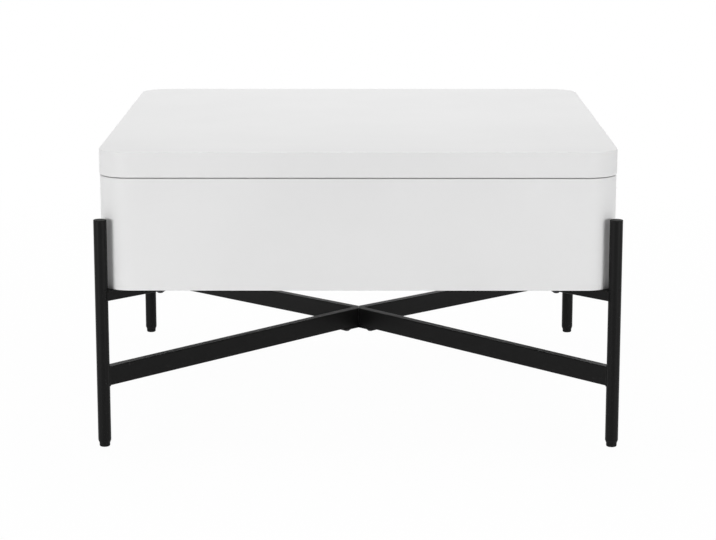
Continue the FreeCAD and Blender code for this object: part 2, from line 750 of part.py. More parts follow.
def close_tube(body, end, width, under, height):
    """Plate as thick as the tube's wall, flush with its end."""
    sketch = tube_sketch(body, f"({end} - {size.tube_wall})", width, under, height)
    pad(body, sketch, size.tube_wall)


def slope_down(feature, run, fall):
    """Lean a pad along X so that it goes down by a fall over its run, its sections still upright."""
    feature.UseCustomVector = True
    feature.AlongSketchNormal = True
    feature.Direction = Vector(1, 0, 0)
    feature.setExpression("Direction.x", run)
    feature.setExpression("Direction.z", f"(-{fall})")


def cope_to_leg(body):
    sketch = new_sketch(body, "XY")
    circle(sketch, diagonal, "0", f"({leg_radius} + {size.weld_gap})")
    cut_through(body, sketch)


def stretcher(label, direction):
    """Half arm of the X on edge: falls to its leg, pointed in the middle, drilled for its cross bolt."""
    body = turn(new_body(label), direction)
    arm = tube(body, "0", diagonal, size.tube_width, stretcher_middle, size.tube_height)
    slope_down(arm, diagonal, size.stretcher_rise)
    cope_to_leg(body)
    point = new_sketch(body, "XY")
    side = size.tube_width
    slope_end = f"({size.fit_gap} + {side})"
    outline(point, [
        (f"(-{side})", f"(-{side})"), (slope_end, f"(-{side})"), (size.fit_gap, "0"),
        (slope_end, side), (f"(-{side})", side),
    ])
    cut_through(body, point)
    spot = [(size.cross_bolt_reach, "0")]
    drill(body, "XY", cross_plate_top, spot, bolt_bore, f"(2 * {size.tube_wall})", ahead=True)


def bracket(label, direction):
    """Flat-laid tube from its leg inwards under the corner of the case, closed beside the leg."""
    body = turn(new_body(label), direction)
    section = (size.tube_height, bracket_under, size.tube_width)
    tube(body, bracket_inner_end, size.bracket_length, *section)
    close_tube(body, diagonal, *section)
    cope_to_leg(body)
    drill_through(body, "XY", [(bracket_bolt_at, "0")], bolt_bore)


def bracket_plugs():
    items = []
    for corner, _, _, direction in CORNERS:
        half = f"({size.tube_height} / 2)"
        start = f"({bracket_inner_end} - {size.plug_flange})"
        sizes = (size.plug_flange, size.tube_height, size.tube_width)
        flange = block("plug_flange", *sizes, start, f"(-{half})", bracket_under)
        inset = f"({size.tube_wall} + {size.fit_gap})"
        core_sizes = (
            f"({size.plug_flange} + {size.plug_depth})",
            f"({size.tube_height} - 2 * {inset})",
            f"({size.tube_width} - 2 * {inset})",
        )
        core = block("plug_core", *core_sizes, start, f"({inset} - {half})", f"({bracket_under} + {inset})")
        items.append(turn(fuse("bracket_plug", [flange, core]), direction))
    group("bracket_plugs", items)


def cross(label, under, height, arm, reach):
    """Cross-shaped block along the diagonals, its arms given by half their width and their reach."""
    body = turn(new_body(label), 45)
    sketch = new_sketch(body, "XY", under)
    minus_arm, minus_reach = f"(-{arm})", f"(-{reach})"
    outline(sketch, [
        (reach, minus_arm), (reach, arm), (arm, arm), (arm, reach), (minus_arm, reach), (minus_arm, arm),
        (minus_reach, arm), (minus_reach, minus_arm), (minus_arm, minus_arm), (minus_arm, minus_reach),
        (arm, minus_reach), (arm, minus_arm),
    ])
    pad(body, sketch, height)
    return body


def cross_connector():
    """Core that the four stretchers slide on to."""
    sizes = (connector_under, connector_height, connector_width, size.connector_reach)
    body = cross("cross_connector", *sizes)
    depth = size.cross_bolt_length
    drill(body, "XY", connector_under, cross_bolt_spots, bolt_thread_bore, depth, ahead=True)


def cross_plate():
    """Plate under the crossing: the cross bolts clamp the stretchers between it and the core."""
    half_width = f"({size.tube_width} / 2)"
    sizes = (cross_plate_under, size.cross_plate_thickness, half_width, size.cross_plate_reach)
    drill_through(cross("cross_plate", *sizes), "XY", cross_bolt_spots, bolt_bore)


def bolt_from_below(x, y, seat, length):
    """Flanged button-head bolt with a hexagon socket, its flange against a seat above it."""
    flange_under = f"({seat} - {size.bolt_flange})"
    head_under = f"({flange_under} - {size.bolt_head})"
    flange = cylinder("bolt_flange", size.bolt_flange_radius, size.bolt_flange, x, y, flange_under)
    radii = (size.bolt_crown_radius, size.bolt_head_radius)
    button = cone("bolt_button", *radii, size.bolt_head, x, y, head_under)
    shank = cylinder("bolt_shank", size.bolt_radius, f"({length} + {size.bolt_flange})", x, y, flange_under)
    socket = doc.addObject("Part::Prism", "bolt_socket")
    socket.Polygon = 6
    socket.setExpression("Circumradius", size.bolt_socket_radius)
    socket.setExpression("Height", size.bolt_socket_depth)
    put(socket, x, y, head_under)
    return cut("bolt", fuse("bolt_blank", [flange, button, shank]), socket)


def bolts(label, reach, seat, length):
    group(label, [
        bolt_from_below(f"({reach} * {x})", f"({reach} * {y})", seat, length) for _, x, y, _ in CORNERS
    ])


def ring(name, outer, inner, height, x, y, z):
    whole = cylinder("ring_outer", outer, height, x, y, z)
    return cut(name, whole, cylinder("ring_bore", inner, height, x, y, z))


def rings(label, reach, outer, inner, height, under):
    group(label, [
        ring("ring", outer, inner, height, f"({reach} * {x})", f"({reach} * {y})", under)
        for _, x, y, _ in CORNERS
    ])


def leg_caps():
    items = []
    for _, x, y, _ in CORNERS:
        spot = (f"({leg_at} * {x})", f"({leg_at} * {y})")
        plug_length = f"({size.plug_depth} + {size.cap_thickness})"
        top = cylinder("cap_top", leg_radius, size.cap_thickness, *spot, leg_top)
        plug_under = f"({leg_top} - {size.plug_depth})"
        plug = cylinder("cap_plug", f"({leg_bore} - {size.fit_gap})", plug_length, *spot, plug_under)
        items.append(fuse("leg_cap", [top, plug]))
    group("leg_caps", items)


def foot_sockets():
    """Threaded plugs in the legs, with a cone that narrows from the leg to the foot."""
    bore = f"({size.stud_radius} + {size.fit_gap})"
    plug = f"({leg_bore} - {size.fit_gap})"
    plug_top = f"({leg_foot} + {size.socket_depth})"
    items = []
    for corner, x, y, _ in CORNERS:
        socket = revolved("foot_socket_" + corner, [
            (bore, size.foot_height), (size.foot_radius, size.foot_height), (leg_radius, leg_foot),
            (plug, leg_foot), (plug, plug_top), (bore, plug_top),
        ])
        items.append(put(socket, f"({leg_at} * {x})", f"({leg_at} * {y})"))
    group("foot_sockets", items)


def levelling_foot(label, x_sign, y_sign):
    flat = f"({size.foot_radius} - {size.foot_rounding})"
    stud_top = f"({size.foot_height} + {size.stud_length})"
    foot = revolved(label, [
        ("0", "0"), (flat, "0", size.foot_rounding, True),
        (size.foot_radius, size.foot_rounding), (size.foot_radius, size.foot_height),
        (size.stud_radius, size.foot_height), (size.stud_radius, stud_top), ("0", stud_top),
    ])
    put(keep(label, foot), f"({leg_at} * {x_sign})", f"({leg_at} * {y_sign})")


for corner, x_sign, y_sign, direction in CORNERS:
    leg("leg_" + corner, x_sign, y_sign)
    bracket("bracket_" + corner, direction)
    stretcher("stretcher_" + corner, direction)
    levelling_foot("levelling_foot_" + corner, x_sign, y_sign)
leg_caps()
bracket_plugs()
cross_connector()
cross_plate()
foot_sockets()
washer_under = f"({bracket_under} - {size.washer_thickness})"
insert_bite = f"({size.insert_length} - {size.tube_wall})"
bracket_bolt_length = f"({size.washer_thickness} + {size.tube_width} + {insert_bite})"
bracket_bolt_xy = f"({bracket_bolt_at} / sqrt(2))"
bolts("cross_bolts", f"({size.cross_bolt_reach} / sqrt(2))", cross_plate_under, size.cross_bolt_length)
bolts("bracket_bolts", bracket_bolt_xy, washer_under, bracket_bolt_length)
washer_sizes = (size.washer_radius, bolt_bore, size.washer_thickness)
rings("bracket_washers", bracket_bolt_xy, *washer_sizes, washer_under)
insert_sizes = (size.insert_radius, bolt_thread_bore, size.insert_length)
rings("bracket_inserts", bracket_bolt_xy, *insert_sizes, size.case_lift)

# Checks, then one file for each sub-part
doc.recompute()
for item in doc.Objects:
    if "Invalid" in item.State or "Error" in item.State:
        raise RuntimeError(f"{item.Label} failed: {item.State}")
for item in pieces:
    if item.Shape.isNull() or not item.Shape.isValid():
        raise RuntimeError(f"{item.Label} has no valid shape")
    if not item.Shape.Solids:
        raise RuntimeError(f"{item.Label} has no solid")
os.makedirs("parts", exist_ok=True)
for item in pieces:
    item.Shape.exportStep(f"parts/{item.Label}.step")
print(len(pieces), "sub-parts written")
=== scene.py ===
# %% [markdown]
# # A square lift-top coffee table
# The table is a white lacquered box with a thick lid, hung between four black tube legs on a
# crossed base. Its construction comes from a CAD frame, which fixes every size, every place and
# every joint. These cells add what the eye judges: softened edges, finishes, welds, bolt heads,
# light and a camera. The frame is loaded first, and its box is kept, because nothing here may make
# the table bigger.

# %% Load the frame
import json
import math

import bmesh
import bpy
from mathutils import Matrix, Vector


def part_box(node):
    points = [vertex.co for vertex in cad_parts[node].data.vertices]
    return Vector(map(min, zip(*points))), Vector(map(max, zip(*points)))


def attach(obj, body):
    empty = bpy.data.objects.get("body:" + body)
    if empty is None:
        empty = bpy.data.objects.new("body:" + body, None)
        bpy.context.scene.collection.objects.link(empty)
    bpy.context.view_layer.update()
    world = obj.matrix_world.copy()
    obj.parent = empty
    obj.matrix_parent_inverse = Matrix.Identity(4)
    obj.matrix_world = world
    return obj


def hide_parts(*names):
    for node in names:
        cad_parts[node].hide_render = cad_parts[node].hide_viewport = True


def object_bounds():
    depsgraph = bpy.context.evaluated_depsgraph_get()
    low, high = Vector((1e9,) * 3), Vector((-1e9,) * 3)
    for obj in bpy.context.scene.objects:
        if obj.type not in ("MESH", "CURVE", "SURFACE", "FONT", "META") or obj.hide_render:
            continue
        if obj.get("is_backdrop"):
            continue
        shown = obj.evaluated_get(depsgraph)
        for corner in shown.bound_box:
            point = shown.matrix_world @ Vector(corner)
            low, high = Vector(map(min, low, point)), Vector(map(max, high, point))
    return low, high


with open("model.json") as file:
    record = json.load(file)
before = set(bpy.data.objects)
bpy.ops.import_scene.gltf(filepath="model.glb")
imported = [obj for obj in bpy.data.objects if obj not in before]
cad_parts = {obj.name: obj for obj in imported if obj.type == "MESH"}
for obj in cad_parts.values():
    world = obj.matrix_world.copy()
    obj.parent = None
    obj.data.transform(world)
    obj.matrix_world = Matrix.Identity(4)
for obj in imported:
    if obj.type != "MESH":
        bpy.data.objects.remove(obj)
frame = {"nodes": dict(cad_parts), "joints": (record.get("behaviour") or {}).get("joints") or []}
cad_low, cad_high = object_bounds()
scene = bpy.context.scene
MM = 0.001

# %% [markdown]
# ## Sizes that several pieces share
# A dimension that the CAD already holds is read back from a node's box and isn't typed again, so
# the looks stay on the construction when that size changes. Typing every size here would be
# shorter, and would go wrong at the first change. What a box can't tell, such as the shape of a
# bolt's head, gets a name and a value in the cell that first needs it.

# %% Read the main sizes
CORNERS = {"front_left": (-1, -1), "front_right": (1, -1), "back_left": (-1, 1), "back_right": (1, 1)}
WALLS = ("front", "back", "left", "right")
SIDES = {"left": -1, "right": 1}


def middle(node):
    low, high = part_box(node)
    return (low + high) / 2


wall_low, wall_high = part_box("front_panel")
case_half = -wall_low.y
case_low, case_high = wall_low.z, wall_high.z
case_wall = wall_high.y - wall_low.y
case_corner = case_half - wall_high.x
leg_place = abs(middle("leg_front_left").x)
leg_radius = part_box("leg_front_left")[1].x - middle("leg_front_left").x
print(f"case {2 * case_half:.3f} m wide, corner radius {case_corner:.3f}, legs at {leg_place:.3f}")

# %% [markdown]
# ## Shader maths as Python
# Every finish below is a small node tree. Building one by hand in code is long-winded, so one class
# wraps a node's output. An expression such as `0.4 + 0.1 * grain` then adds its Math nodes by
# itself. Any other node comes from the method `node`, which takes its type, its settings and its
# inputs.

# %% The socket class
class Socket:
    """An output of a shader node. Python's operators on it add Math nodes to the same tree."""

    def __init__(self, tree, output=None):
        self.tree = tree
        self.output = output

    def node(self, kind, settings, inputs, out=0):
        """Add a node: first its settings, then the values or links of its inputs."""
        made = self.tree.nodes.new("ShaderNode" + kind)
        for name, value in settings.items():
            if name == "stops":
                set_stops(made.color_ramp.elements, value)
            else:
                setattr(made, name, value)
        for name, value in inputs.items():
            self.plug(value, made.inputs[name])
        return Socket(self.tree, made.outputs[out])

    def plug(self, value, socket):
        if isinstance(value, Socket):
            self.tree.links.new(value.output, socket)
        else:
            socket.default_value = value

    def math(self, operation, first, second):
        return self.node("Math", {"operation": operation}, {0: first, 1: second})

    def __add__(self, other):
        return self.math("ADD", self, other)

    def __radd__(self, other):
        return self.math("ADD", other, self)

    def __mul__(self, other):
        return self.math("MULTIPLY", self, other)

    def __rmul__(self, other):
        return self.math("MULTIPLY", other, self)


def set_stops(elements, stops):
    while len(elements) < len(stops):
        elements.new(1.0)
    for element, (position, colour) in zip(elements, stops):
        element.position = position
        element.color = (*colour, 1.0)


print("socket class ready")

# %% [markdown]
# ## Starting and closing a finish
# A finish could be a picture wrapped on with a UV map, but a picture shows its seams and its
# pixels. Nodes that read Object coordinates have neither: those are metres in the table's own
# frame, and because every piece sits at the origin with its place in its mesh, a grain keeps its
# scale and runs on from one piece to the next. A finish closes by filling the Principled shader:
# constants go on the sockets, and what varies is linked.

# %% Helpers for finishes
def start_finish(name):
    material = bpy.data.materials.new(name)
    material.use_nodes = True
    return material, Socket(material.node_tree).node("TexCoord", {}, {}, "Object")


def close_finish(material, place, values):
    shader = material.node_tree.nodes["Principled BSDF"]
    for name, value in values.items():
        place.plug(value, shader.inputs[name])
    print("finish:", material.name, "with", len(material.node_tree.nodes), "nodes")
    return material


def noise(place, cell, detail=2.0):
    """Soft random values round 0.5, in cells of about the given size in metres."""
    return place.node("TexNoise", {}, {"Vector": place, "Scale": 1 / cell, "Detail": detail})


def grey(level):
    return (level, level, level)


def tint(value, dark, light, low=0.35, high=0.65):
    """A colour that goes from dark to light as a value goes from low to high."""
    return value.node("ValToRGB", {"stops": [(low, dark), (high, light)]}, {"Fac": value})


def bump(height, depth, strength):
    return height.node("Bump", {}, {"Strength": strength, "Distance": depth, "Height": height})


print("finish helpers ready")

# %% [markdown]
# ## White satin lacquer
# The box and the lid are fibreboard, sprayed white and rubbed to a satin. Up close, sprayed lacquer
# isn't flat: it has a fine ripple called orange peel, and its gloss drifts a little from place to
# place. The ripple could be displaced into the mesh, but it is far finer than a sensible face, so a
# faint bump and a slow change of roughness carry both. A low specular level keeps the white as matt
# as it looks in a soft light.

# %% White lacquer
def white_lacquer():
    material, place = start_finish("white_lacquer")
    drift = noise(place, 180 * MM)
    peel = noise(place, 2.6 * MM)
    return close_finish(material, place, {
        "Base Color": tint(drift, grey(0.81), grey(0.825)),
        "Roughness": 0.48 + 0.08 * noise(place, 35 * MM),
        "Specular IOR Level": 0.1,
        "Normal": bump(peel, 0.05 * MM, 0.35),
    })


LACQUER = white_lacquer()

# %% [markdown]
# ## Black powder coat
# The steel base is powder coated: a matt black skin with a fine pebbled grain of just under a
# millimetre. The grain scatters highlights, so the tubes look nearly black from the front and only
# their upper faces, seen at a low angle, catch the light. Real pebbles would take millions of
# faces, so one noise makes both the bump and the colour, and a low specular level with a fairly
# rough surface gives the soft sheen.

# %% Powder coat
def powder_coat():
    material, place = start_finish("black_powder_coat")
    pebble = noise(place, 0.9 * MM, 3.0)
    return close_finish(material, place, {
        "Base Color": tint(pebble, grey(0.0052), grey(0.0085)),
        "Roughness": 0.36 + 0.08 * noise(place, 12 * MM),
        "Specular IOR Level": 0.09,
        "Normal": bump(pebble, 0.1 * MM, 0.25),
    })


POWDER_COAT = powder_coat()

# %% [markdown]
# ## Moulded black plastic and pale rubber
# Caps, plugs and feet are moulded plastic. Its skin copies the spark-eroded mould, so it is matt
# with a very fine even grain. The bumpers on the rim are a soft, slightly dusty rubber. A separate
# noise for each of its properties would work, but where dust lies a surface is paler, rougher and
# raised at once, so for the rubber one noise drives all three.

# %% Plastic and rubber
def moulded_plastic():
    material, place = start_finish("black_plastic")
    grain = noise(place, 0.4 * MM)
    return close_finish(material, place, {
        "Base Color": tint(noise(place, 9 * MM), grey(0.006), grey(0.009)),
        "Roughness": 0.52 + 0.12 * grain,
        "Specular IOR Level": 0.1,
        "Normal": bump(grain, 0.04 * MM, 0.4),
    })


def soft_rubber():
    material, place = start_finish("soft_rubber")
    dust = noise(place, 1.5 * MM, 4.0)
    return close_finish(material, place, {
        "Base Color": tint(dust, (0.56, 0.56, 0.54), (0.66, 0.66, 0.64)),
        "Roughness": 0.6 + 0.2 * dust,
        "Normal": bump(dust, 0.05 * MM, 0.5),
    })


PLASTIC = moulded_plastic()
RUBBER = soft_rubber()

# %% [markdown]
# ## Zinc-plated sheet
# The lift fitting is pressed from zinc-plated sheet. Plating freezes in flat crystals, the spangle,
# and each crystal shines a little differently. A brushed-metal picture would repeat over a long
# arm, and cells never do. So Voronoi cells give every crystal its own tone and gloss, and a noise
# stretched front to back gives the faint lines that rolling leaves.

# %% Sheet steel
def sheet_steel():
    material, place = start_finish("zinc_plated_sheet")
    crystals = place.node("TexVoronoi", {}, {"Vector": place, "Scale": 1 / (5 * MM)}, out="Color")
    spangle = crystals.node("SeparateColor", {}, {"Color": crystals}, out="Red")
    rolled = place.node("Mapping", {}, {"Vector": place, "Scale": (1.0, 0.04, 1.0)})
    lines = noise(rolled, 0.5 * MM, 3.0)
    sheen = 0.6 * spangle + 0.4 * lines
    return close_finish(material, place, {
        "Base Color": tint(sheen, (0.47, 0.48, 0.50), (0.60, 0.61, 0.62), 0.2, 0.8),
        "Metallic": 1.0,
        "Roughness": 0.26 + 0.16 * spangle + 0.06 * lines,
        "Normal": bump(lines, 0.01 * MM, 0.5),
    })


SHEET_STEEL = sheet_steel()

# %% [markdown]
# ## Turned and plated hardware
# Pins and screws are plated bright, the bolts under the table are plated black, and the threaded
# inserts are turned from brass. Each could have its own tree, but they differ only in colour and
# gloss: all have a cloudy surface and fine tool marks. So one function with two colours and a gloss
# makes them all.

# %% Plated metals
def plated_metal(name, dark, light, gloss):
    material, place = start_finish(name)
    cloud = noise(place, 3 * MM, 3.0)
    marks = noise(place, 0.35 * MM)
    return close_finish(material, place, {
        "Base Color": tint(cloud, dark, light),
        "Metallic": 1.0,
        "Roughness": gloss + 0.12 * cloud,
        "Normal": bump(marks, 0.01 * MM, 0.4),
    })


BRIGHT_ZINC = plated_metal("bright_zinc", (0.60, 0.61, 0.63), (0.72, 0.73, 0.75), 0.18)
BLACK_ZINC = plated_metal("black_zinc", (0.030, 0.030, 0.032), (0.048, 0.048, 0.050), 0.32)
BRASS = plated_metal("turned_brass", (0.60, 0.42, 0.17), (0.72, 0.53, 0.24), 0.22)

# %% [markdown]
# ## Raw beech
# The dowels that join the walls are beech, which shows short dark flecks along its grain. Rings and
# long fibres could be drawn too, but they don't show on a thin peg, so a noise with a hard ramp
# leaves just the flecks. Dowels are out of sight in the finished table, and still get their wood,
# for whoever takes it apart.

# %% Beech
def raw_beech():
    material, place = start_finish("raw_beech")
    fleck = noise(place, 1.2 * MM, 4.0)
    return close_finish(material, place, {
        "Base Color": tint(fleck, (0.40, 0.23, 0.11), (0.58, 0.38, 0.21), 0.3, 0.5),
        "Roughness": 0.55 + 0.2 * fleck,
        "Normal": bump(fleck, 0.05 * MM, 0.4),
    })


BEECH = raw_beech()

# %% [markdown]
# ## CAD parts that keep their shape
# The tubes of the base already have their true rounding in the CAD, and the pieces hidden inside
# need no more. They could be modelled again here, but a copy could only lose accuracy, so they stay
# and take a finish.

# %% Dress the CAD parts that stay
def dress(finish, *nodes):
    for node in nodes:
        slots = frame["nodes"][node].data.materials
        slots.clear()
        slots.append(finish)
    print("dressed in", finish.name + ":", *nodes)


tubes = [f"{kind}_{corner}" for kind in ("leg", "bracket", "stretcher") for corner in CORNERS]
dress(POWDER_COAT, *tubes)
dress(LACQUER, "bottom_panel")
dress(BEECH, "case_dowels", "floor_dowels")
dress(SHEET_STEEL, "cross_connector")
dress(BRASS, "bracket_inserts")

# %% [markdown]
# ## Soft edges and finished pieces
# New pieces are made in bmesh, Blender's mesh kernel, from a simple start and a few operators. Real
# edges are never perfectly sharp: a bevel of a millimetre or less catches a thin line of light, and
# that line is what makes a render look solid. A Bevel modifier could do it too, but it treats all
# edges alike, and here a test picks them. Weighted normals keep the flat faces beside a bevel flat.

# %% Helpers for pieces
SHARP = math.radians(40)


def soften(bm, width, segments=3, where=lambda edge: True):
    """Round every sharp edge of a shape that passes the test."""
    edges = [
        edge for edge in bm.edges
        if len(edge.link_faces) == 2 and edge.calc_face_angle() > SHARP and where(edge)
    ]
    bmesh.ops.bevel(
        bm, geom=edges, offset=width, offset_type="OFFSET", affect="EDGES",
        segments=segments, profile=0.5, material=-1, clamp_overlap=True,
    )


def piece(bm, name, body, finish, slot, *nodes):
    """Turn a shape into a piece that rides on a body and stands for some CAD nodes."""
    mesh = bpy.data.meshes.new(name)
    bm.to_mesh(mesh)
    bm.free()
    mesh.shade_smooth()
    mesh.set_sharp_from_angle(angle=SHARP)
    mesh.materials.append(finish)
    made = bpy.data.objects.new(name, mesh)
    scene.collection.objects.link(made)
    weighted = made.modifiers.new("weighted_normals", "WEIGHTED_NORMAL")
    weighted.keep_sharp = True
    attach(made, body)
    if nodes:
        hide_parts(*nodes)
    print(f"piece: {name}, {len(mesh.polygons)} faces, on {body}")
    return made


print("edges over", round(math.degrees(SHARP)), "degrees count as sharp")

# %% [markdown]
# ## Flat shapes that are pushed up
# The box and the lid are cut from board: a flat outline that has a thickness. A cube could be
# scaled and bevelled instead, but the radius of its corners would get in the way of the small
# bevels that follow. So a square gets its round corners while it is flat, by a bevel of its four
# vertices, and is then extruded. What an operator gives back mixes vertices, edges and faces, so a
# helper picks the vertices.

# %% Helpers for shapes
MERGE = 0.001 * MM
CORNER_STEPS = 24


def only_verts(items):
    return [item for item in items if isinstance(item, bmesh.types.BMVert)]


def close_up(bm):
    """Merge doubles and point every face outwards."""
    bmesh.ops.remove_doubles(bm, verts=bm.verts[:], dist=MERGE)
    bmesh.ops.recalc_face_normals(bm, faces=bm.faces[:])


def raise_face(bm, faces, height, keep=False):
    """Extrude faces straight up. Those at the start stay only where they close the shape."""
    made = bmesh.ops.extrude_face_region(bm, geom=faces)["geom"]
    bmesh.ops.translate(bm, vec=(0, 0, height), verts=only_verts(made))
    if not keep:
        bmesh.ops.delete(bm, geom=faces, context="FACES_ONLY")


def rounded_square(bm, half, radius, height):
    """One flat face with four round corners, lying at a height."""
    made = bmesh.ops.create_grid(bm, x_segments=1, y_segments=1, size=half)
    bmesh.ops.translate(bm, vec=(0, 0, height), verts=made["verts"])
    bmesh.ops.bevel(
        bm, geom=made["verts"], offset=radius, offset_type="OFFSET", affect="VERTICES",
        segments=CORNER_STEPS, profile=0.5, material=-1,
    )
    return bm.faces[:]


print("shape helpers ready, round corners in", CORNER_STEPS, "steps")

# %% [markdown]
# ## The case
# On the real table the walls and the quarter-round corners are glued, filled and sprayed as one, so
# no joint shows. The CAD keeps them as separate boards, and one seamless shell stands for all
# eight. A bevelled cube with a Solidify modifier would come close, but its inner corners need care.
# Here a rounded square is inset by the wall thickness, which leaves a ring with matching corners,
# and the ring is extruded to the height of the case.

# %% Case shell
CASE_EDGE = 1.0 * MM


def case_shell():
    bm = bmesh.new()
    outline = rounded_square(bm, case_half, case_corner, case_low)
    inset = bmesh.ops.inset_region(
        bm, faces=outline, thickness=case_wall, use_even_offset=True, use_boundary=True,
    )
    ring = inset["faces"]
    inside = [face for face in bm.faces if face not in ring]
    bmesh.ops.delete(bm, geom=inside, context="FACES_ONLY")
    raise_face(bm, ring, case_high - case_low, keep=True)
    close_up(bm)
    soften(bm, CASE_EDGE)
    panels = [wall + "_panel" for wall in WALLS]
    posts = ["corner_post_" + corner for corner in CORNERS]
    return piece(bm, "case_shell", "root", LACQUER, "white_lacquer", *panels, *posts)


case_shell()

# %% [markdown]
# ## The lid
# The lid is a board with edge strips glued under its rim, sprayed as one piece too. The strips, as
# wide as the case wall, make it look thick and leave a shallow tray underneath, where the lift
# fitting folds away. Five boards could be modelled and joined, but filler and lacquer hide every
# joint. So the shape is a thick slab whose underside is inset and pushed up. The upper edge, which
# hands touch, has a slightly larger rounding than the lower ones.

# %% Lid shell
LID_UPPER_EDGE = 1.2 * MM
LID_LOWER_EDGE = 1.0 * MM


def lid_shell():
    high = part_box("lid_board")[1]
    strip_low, strip_high = (corner.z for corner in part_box("lid_edge_front"))
    overhang = high.x - case_half
    bm = bmesh.new()
    outline = rounded_square(bm, high.x, case_corner + overhang, strip_low)
    raise_face(bm, outline, high.z - strip_low, keep=True)
    close_up(bm)
    under = min(bm.faces, key=lambda face: face.calc_center_median().z)
    bmesh.ops.inset_region(bm, faces=[under], thickness=case_wall, use_even_offset=True)
    raise_face(bm, [under], strip_high - strip_low)
    close_up(bm)
    top = high.z - LID_LOWER_EDGE
    soften(bm, LID_UPPER_EDGE, 5, lambda edge: min(vert.co.z for vert in edge.verts) > top)
    rim = strip_low + LID_LOWER_EDGE
    soften(bm, LID_LOWER_EDGE, 3, lambda edge: max(vert.co.z for vert in edge.verts) < rim)
    strips = ["lid_edge_" + wall for wall in WALLS]
    return piece(bm, "lid_shell", "lid", LACQUER, "white_lacquer", "lid_board", *strips)


lid_shell()

# %% [markdown]
# ## Turned shapes
# Caps, feet, bolts and pins are round about an axis, as a lathe or a mould makes them. Blender's
# cylinder has a single radius, and joining several would leave seams. So a few points, each a
# radius and a height, are spun round the axis instead. A profile that starts and ends on the axis
# closes once the doubles there are merged, and the profile of a ring is joined end to end. A test
# picks the edges on one circle, so that a single rim can be rounded.

# %% Helpers for turned pieces
ROUND_STEPS = 48
ON_RIM = 0.01 * MM


def turned(profile, ring=False):
    """Spin points of (radius, height) round the Z axis."""
    bm = bmesh.new()
    verts = [bm.verts.new((radius, 0, height)) for radius, height in profile]
    chain = verts + verts[:1] if ring else verts
    edges = [bm.edges.new(pair) for pair in zip(chain, chain[1:])]
    bmesh.ops.spin(
        bm, geom=verts + edges, axis=(0, 0, 1), cent=(0, 0, 0),
        angle=math.tau, steps=ROUND_STEPS, use_merge=True,
    )
    close_up(bm)
    return bm


def rim_at(radius, height):
    """A test for the edges of a turned shape that lie on one circle."""
    def on_rim(edge):
        return all(
            abs(vert.co.z - height) < ON_RIM and abs(vert.co.xy.length - radius) < ON_RIM
            for vert in edge.verts
        )
    return on_rim


print("turning helpers ready,", ROUND_STEPS, "steps to a turn")

# %% [markdown]
# ## Copies of a small part
# The same cap, bolt or pin sits at four corners or on two sides. Each could be an object of its
# own, but one piece for each kind is easier to keep. So a shape is made once, round the axis, and
# copied to a list of places, and the first one is dropped.

# %% Helpers for copies
def set_out(bm, places):
    """Copy a shape to each place, and drop the first one."""
    first = bm.verts[:] + bm.edges[:] + bm.faces[:]
    for place in places:
        made = bmesh.ops.duplicate(bm, geom=first)["geom"]
        bmesh.ops.transform(bm, matrix=place, verts=only_verts(made))
    bmesh.ops.delete(bm, geom=only_verts(first), context="VERTS")


def at_corners(reach):
    return [Matrix.Translation((x * reach, y * reach, 0)) for x, y in CORNERS.values()]


print("copies can go to", len(CORNERS), "corners")

# %% [markdown]
# ## Leg caps and foot collars
# A moulded cap closes the top of each leg: a disc as wide as the tube on a plug that grips inside
# it. At the bottom a longer plug carries the thread of the levelling foot. Its collar shows below
# the tube and narrows towards the foot, which is why the leg seems to taper over its last few
# millimetres. Stacked cylinders would leave seams between disc, plug and cone, so each of the two
# is one profile, spun.

# %% Caps and collars
PLUG_INSET = 1.6 * MM
PLUG_RADIUS = leg_radius - PLUG_INSET
BORE_RADIUS = 4.1 * MM
CAP_ROUNDING = 0.9 * MM
CAP_LOWER_EDGE = 0.2 * MM
COLLAR_EDGE = 0.3 * MM
leg_low, leg_high = (corner.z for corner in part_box("leg_front_left"))
foot_low, foot_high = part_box("levelling_foot_front_left")
foot_radius = (foot_high.x - foot_low.x) / 2


def cap_set():
    low, high = (corner.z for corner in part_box("leg_caps"))
    bm = turned([
        (0, low), (PLUG_RADIUS, low), (PLUG_RADIUS, leg_high),
        (leg_radius, leg_high), (leg_radius, high), (0, high),
    ])
    soften(bm, CAP_ROUNDING, 4, rim_at(leg_radius, high))
    soften(bm, CAP_LOWER_EDGE, 2, rim_at(leg_radius, leg_high))
    set_out(bm, at_corners(leg_place))
    return piece(bm, "cap_set", "root", PLASTIC, "black_plastic", "leg_caps")


def collar_set():
    low, high = (corner.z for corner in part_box("foot_sockets"))
    bm = turned([
        (BORE_RADIUS, low), (foot_radius, low), (leg_radius, leg_low),
        (PLUG_RADIUS, leg_low), (PLUG_RADIUS, high), (BORE_RADIUS, high),
    ], ring=True)
    soften(bm, COLLAR_EDGE, 2)
    set_out(bm, at_corners(leg_place))
    return piece(bm, "collar_set", "root", PLASTIC, "black_plastic", "foot_sockets")


cap_set()
collar_set()

# %% [markdown]
# ## The thread of a foot
# When a levelling foot is screwed down, the thread on its stud shows. Closed rings would look like
# a thread from afar, but a thread climbs. So one small tooth is spun round the stud and lifted by
# one pitch in each turn, and what stays open at its ends is filled.

# %% Thread
STUD_CREST = 4.0 * MM
STUD_ROOT = 3.4 * MM
STUD_PITCH = 1.25 * MM
THREAD_SINK = 0.2 * MM
THREAD_STEPS = 36


def open_edges(bm):
    return [edge for edge in bm.edges if edge.is_boundary]


